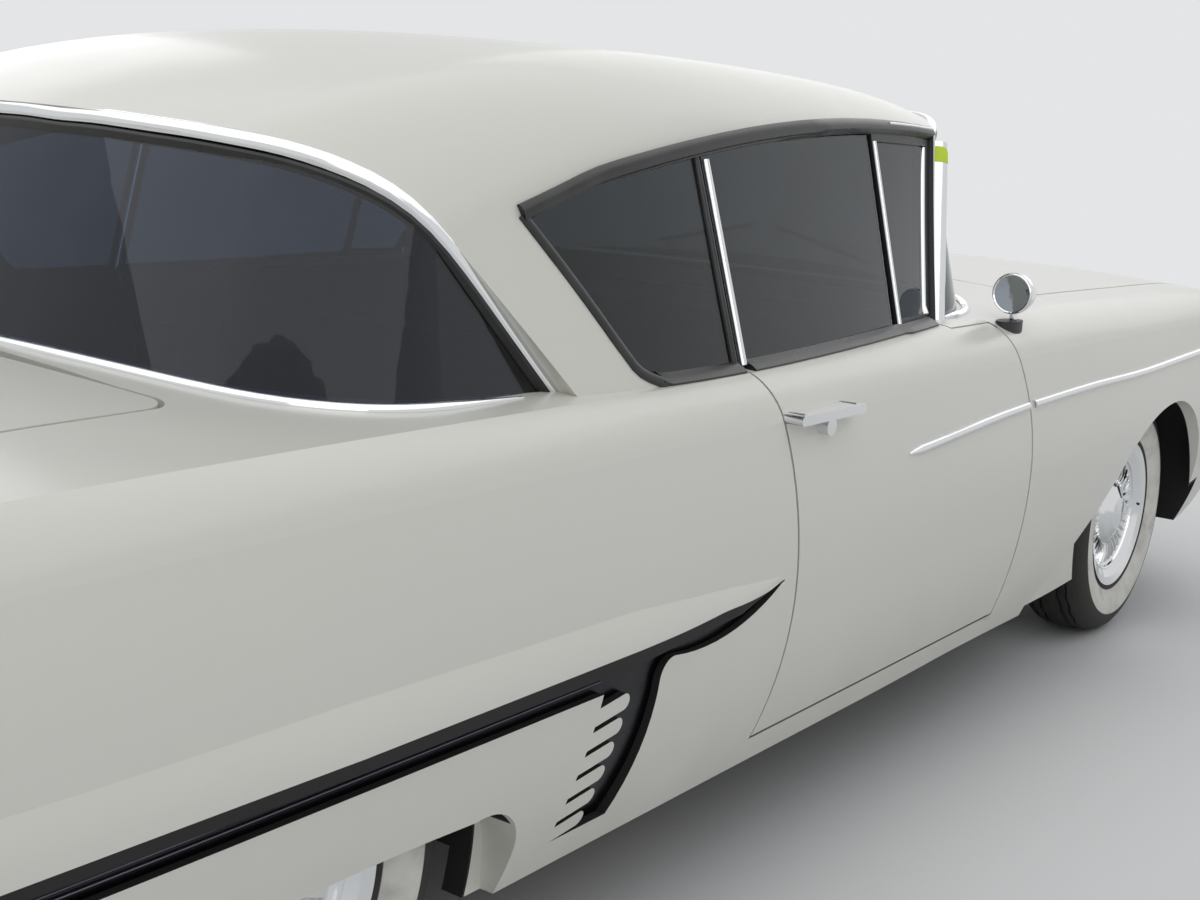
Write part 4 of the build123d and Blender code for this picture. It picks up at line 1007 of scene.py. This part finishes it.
def door_card(name, side):
    """Arm pad, two bright strips and a window crank on the lining of one door."""
    door = f"door_{name}"
    inner = skin_of(door)
    # Columns: label, place above the road, width, height of its dome, range of points, dress
    for label, z, width, height, ends, dress in (
        ("arm_pad", 0.740, 0.060, 0.038, (3, 14), (seat_vinyl, door, "seat_trim")),
        ("card_strip", 0.830, 0.010, 0.004, (0, CARD_POINTS), bright_on_door[name]),
        ("kick_strip", 0.470, 0.010, 0.004, (0, CARD_POINTS), bright_on_door[name]),
    ):
        starts = [(CARD_REAR_X + i * CARD_STEP, 0, z) for i in range(CARD_POINTS)]
        run = seats(inner, starts, (0, side, 0))[slice(*ends)]
        moulding(f"door_{label}_{name}", run, half_round(width, height), dress)
    hub, _ = seat(inner, (0.20, 0, 0.800), (0, side, 0))
    turned(f"window_crank_hub_{name}", [(0.0, 0.020), (0.012, 0.018), (0.016, 0.0)], hub, (0, -side, 0),
           bright_on_door[name], 24)
    crank = [hub + Vector((x, -side * out, z)) for x, out, z in ((0, 0.014, 0), (0.05, 0.020, -0.02),
                                                                 (0.10, 0.024, -0.03))]
    bar(f"window_crank_{name}", crank, 0.006, bright_on_door[name])


for name, side in SIDES.items():
    door_card(name, side)


# Mirrors, wipers, lamp rims and springs

MIRROR_X, MIRROR_Y, MIRROR_Z = 0.858, 0.868, 1.040
PIVOT_X, PIVOT_Y, AHEAD_OF_GLASS_X = 1.262, 0.36, 1.9
BLADE_POINTS, BLADE_OUTER_Y, BLADE_STEP, BLADE_LOW_Z, BLADE_RISE = 16, 0.33, 0.0195, 1.045, 0.0045
SPRING_Y, SPRING_LOW_Z, SPRING_HEIGHT, SPRING_RADIUS = 0.560, 0.285, 0.140, 0.066
SPRING_TURNS, COIL_STEPS = 6, 16


def fender_mirror(name, side):
    """The rolled rim and the silvered glass of one mirror."""
    place = (MIRROR_X, side * MIRROR_Y, MIRROR_Z)
    bezel = [(0.0, 0.0472), (-0.005, 0.0468), (-0.0065, 0.0445), (-0.004, 0.041)]
    turned(f"mirror_bezel_{name}", bezel, place, (1, 0, 0), bright_on_body, 56)
    glass = [(-0.0045, 0.0415), (-0.0040, 0.030), (-0.0036, 0.0)]
    turned(f"mirror_glass_{name}", glass, place, (1, 0, 0), (mirror_silver, "body", "chrome"), 56)


def wiper(name, side):
    """A blade that lies on the windshield, an arm and its pivot on the cowl."""
    pivot, cowl_normal = seat(outer_skin, (PIVOT_X, side * PIVOT_Y, ABOVE_Z), -UP)
    turned(f"wiper_pivot_{name}", [(-0.004, 0.016), (0.012, 0.014), (0.020, 0.009), (0.022, 0.0)], pivot,
           cowl_normal, bright_on_body, 24)
    starts = [(AHEAD_OF_GLASS_X, side * (BLADE_OUTER_Y - i * BLADE_STEP), BLADE_LOW_Z + i * BLADE_RISE)
              for i in range(BLADE_POINTS)]
    hits = seats(skin_of("windshield"), starts, (-1, 0, 0))
    blade = [(place + normal * 0.008, normal) for place, normal in hits]
    moulding(f"wiper_blade_{name}", blade, half_round(0.010, 0.006, 0.006), rubber_on_body)
    place, normal = blade[len(blade) // 2]
    middle = place + normal * 0.010
    arm = [pivot + UP * 0.016, (pivot + middle) / 2 + Vector((0.010, 0, 0.022)), middle]
    bar(f"wiper_arm_{name}", arm, 0.0045, bright_on_body)


def lamp_rims(name, side):
    """Bright rims round two headlamps and a tail lamp."""
    rim = [(-0.006, 0.090), (0.046, 0.094), (0.058, 0.091), (0.062, 0.085), (0.050, 0.081)]
    for y, z in HEADLAMPS:
        turned(f"headlamp_rim_{name}_{round(y * 1000)}", rim, (HEADLAMP_X, side * y, z), (1, 0, 0),
               bright_on_body, 64)
    y, z = TAIL_LAMP
    rim = [(-0.012, 0.052), (0.012, 0.053), (0.020, 0.049), (0.018, 0.045)]
    turned(f"tail_lamp_rim_{name}", rim, (TAIL_LAMP_X, side * y, z), (-1, 0, 0), bright_on_body, 48)


def front_spring(name, side):
    """An open coil spring over one front axle end."""
    run = []
    steps = SPRING_TURNS * COIL_STEPS
    for i in range(steps + 1):
        turn = 2 * math.pi * i / COIL_STEPS
        outward = Vector((math.cos(turn), math.sin(turn), 0))
        middle = Vector((FRONT_AXLE_X, side * SPRING_Y, SPRING_LOW_Z + SPRING_HEIGHT * i / steps))
        run.append((middle + outward * SPRING_RADIUS, outward))
    moulding(f"front_spring_{name}", run, round_bar(0.0065), (black_steel, "body", "black_steel"))


for name, side in SIDES.items():
    fender_mirror(name, side)
for name, side in SIDES.items():
    wiper(name, side)
    lamp_rims(name, side)
    front_spring(name, side)


# Studio

FLOOR_REACH = 60
LAMP_TARGET = Vector((0, 0, 0.8))
CAMERA_PLACE = (-2.77402, -2.31822, 1.37208)
CAMERA_HEADING, CAMERA_PITCH, CAMERA_ROLL = 35.524754, -11.315044, 3.516712
CAMERA_LENS = 49.14


def ground():
    """A wide pale floor that holds the car's shadow."""
    corners = [(x * FLOOR_REACH, y * FLOOR_REACH, 0) for x, y in ((-1, -1), (1, -1), (1, 1), (-1, 1))]
    mesh = bpy.data.meshes.new("studio_floor")
    mesh.from_pydata(corners, [], [(0, 1, 2, 3)])
    floor = placed("studio_floor", mesh)
    floor.data.materials.append(studio_floor())


def soft_lamp(name, place, size, power):
    """A wide lamp that faces the middle of the car."""
    light = bpy.data.lights.new(name, "AREA")
    light.shape, light.size, light.size_y, light.energy = "RECTANGLE", *size, power
    lamp = placed(name, light)
    lamp.location = place
    lamp.rotation_mode = "QUATERNION"
    lamp.rotation_quaternion = (LAMP_TARGET - Vector(place)).to_track_quat("-Z", "Y")


def surround():
    """A pale world: bright where it is seen, mirrored or seen through glass, and dimmer as light."""
    world = bpy.data.worlds.new("pale_surround")
    graph = Graph(world)
    strengths = {"Value": graph.seen(), "To Min": FILL_STRENGTH, "To Max": SURROUND_STRENGTH}
    strength = graph.node("ShaderNodeMapRange", None, strengths)
    background = graph.tree.nodes["Background"]
    background.inputs["Color"].default_value = (*SURROUND, 1)
    graph.tree.links.new(strength.socket, background.inputs["Strength"])
    bpy.context.scene.world = world


def camera():
    """The photograph's view: over the right rear quarter towards the nose, and tipped a little."""
    data = bpy.data.cameras.new("quarter_view")
    data.sensor_width, data.lens = 36.0, CAMERA_LENS
    data.clip_start, data.clip_end = 0.05, 200
    made = placed("quarter_view", data)
    heading = Matrix.Rotation(math.radians(CAMERA_HEADING - 90), 4, "Z")
    pitch = Matrix.Rotation(math.radians(CAMERA_PITCH + 90), 4, "X")
    roll = Matrix.Rotation(math.radians(CAMERA_ROLL), 4, "Z")
    made.matrix_world = Matrix.Translation(CAMERA_PLACE) @ heading @ pitch @ roll
    bpy.context.scene.camera = made


ground()
soft_lamp("overhead", (-0.6, -0.3, 5.2), (14.0, 10.0), 255)
soft_lamp("right_fill", (-4.5, -5.5, 3.2), (5.0, 3.0), 45)
soft_lamp("left_fill", (1.0, 6.0, 3.2), (5.0, 3.0), 45)
soft_lamp("nose_fill", (6.2, 1.0, 4.2), (6.5, 4.5), 50)
surround()
camera()
bpy.context.scene.view_settings.view_transform = "Standard"
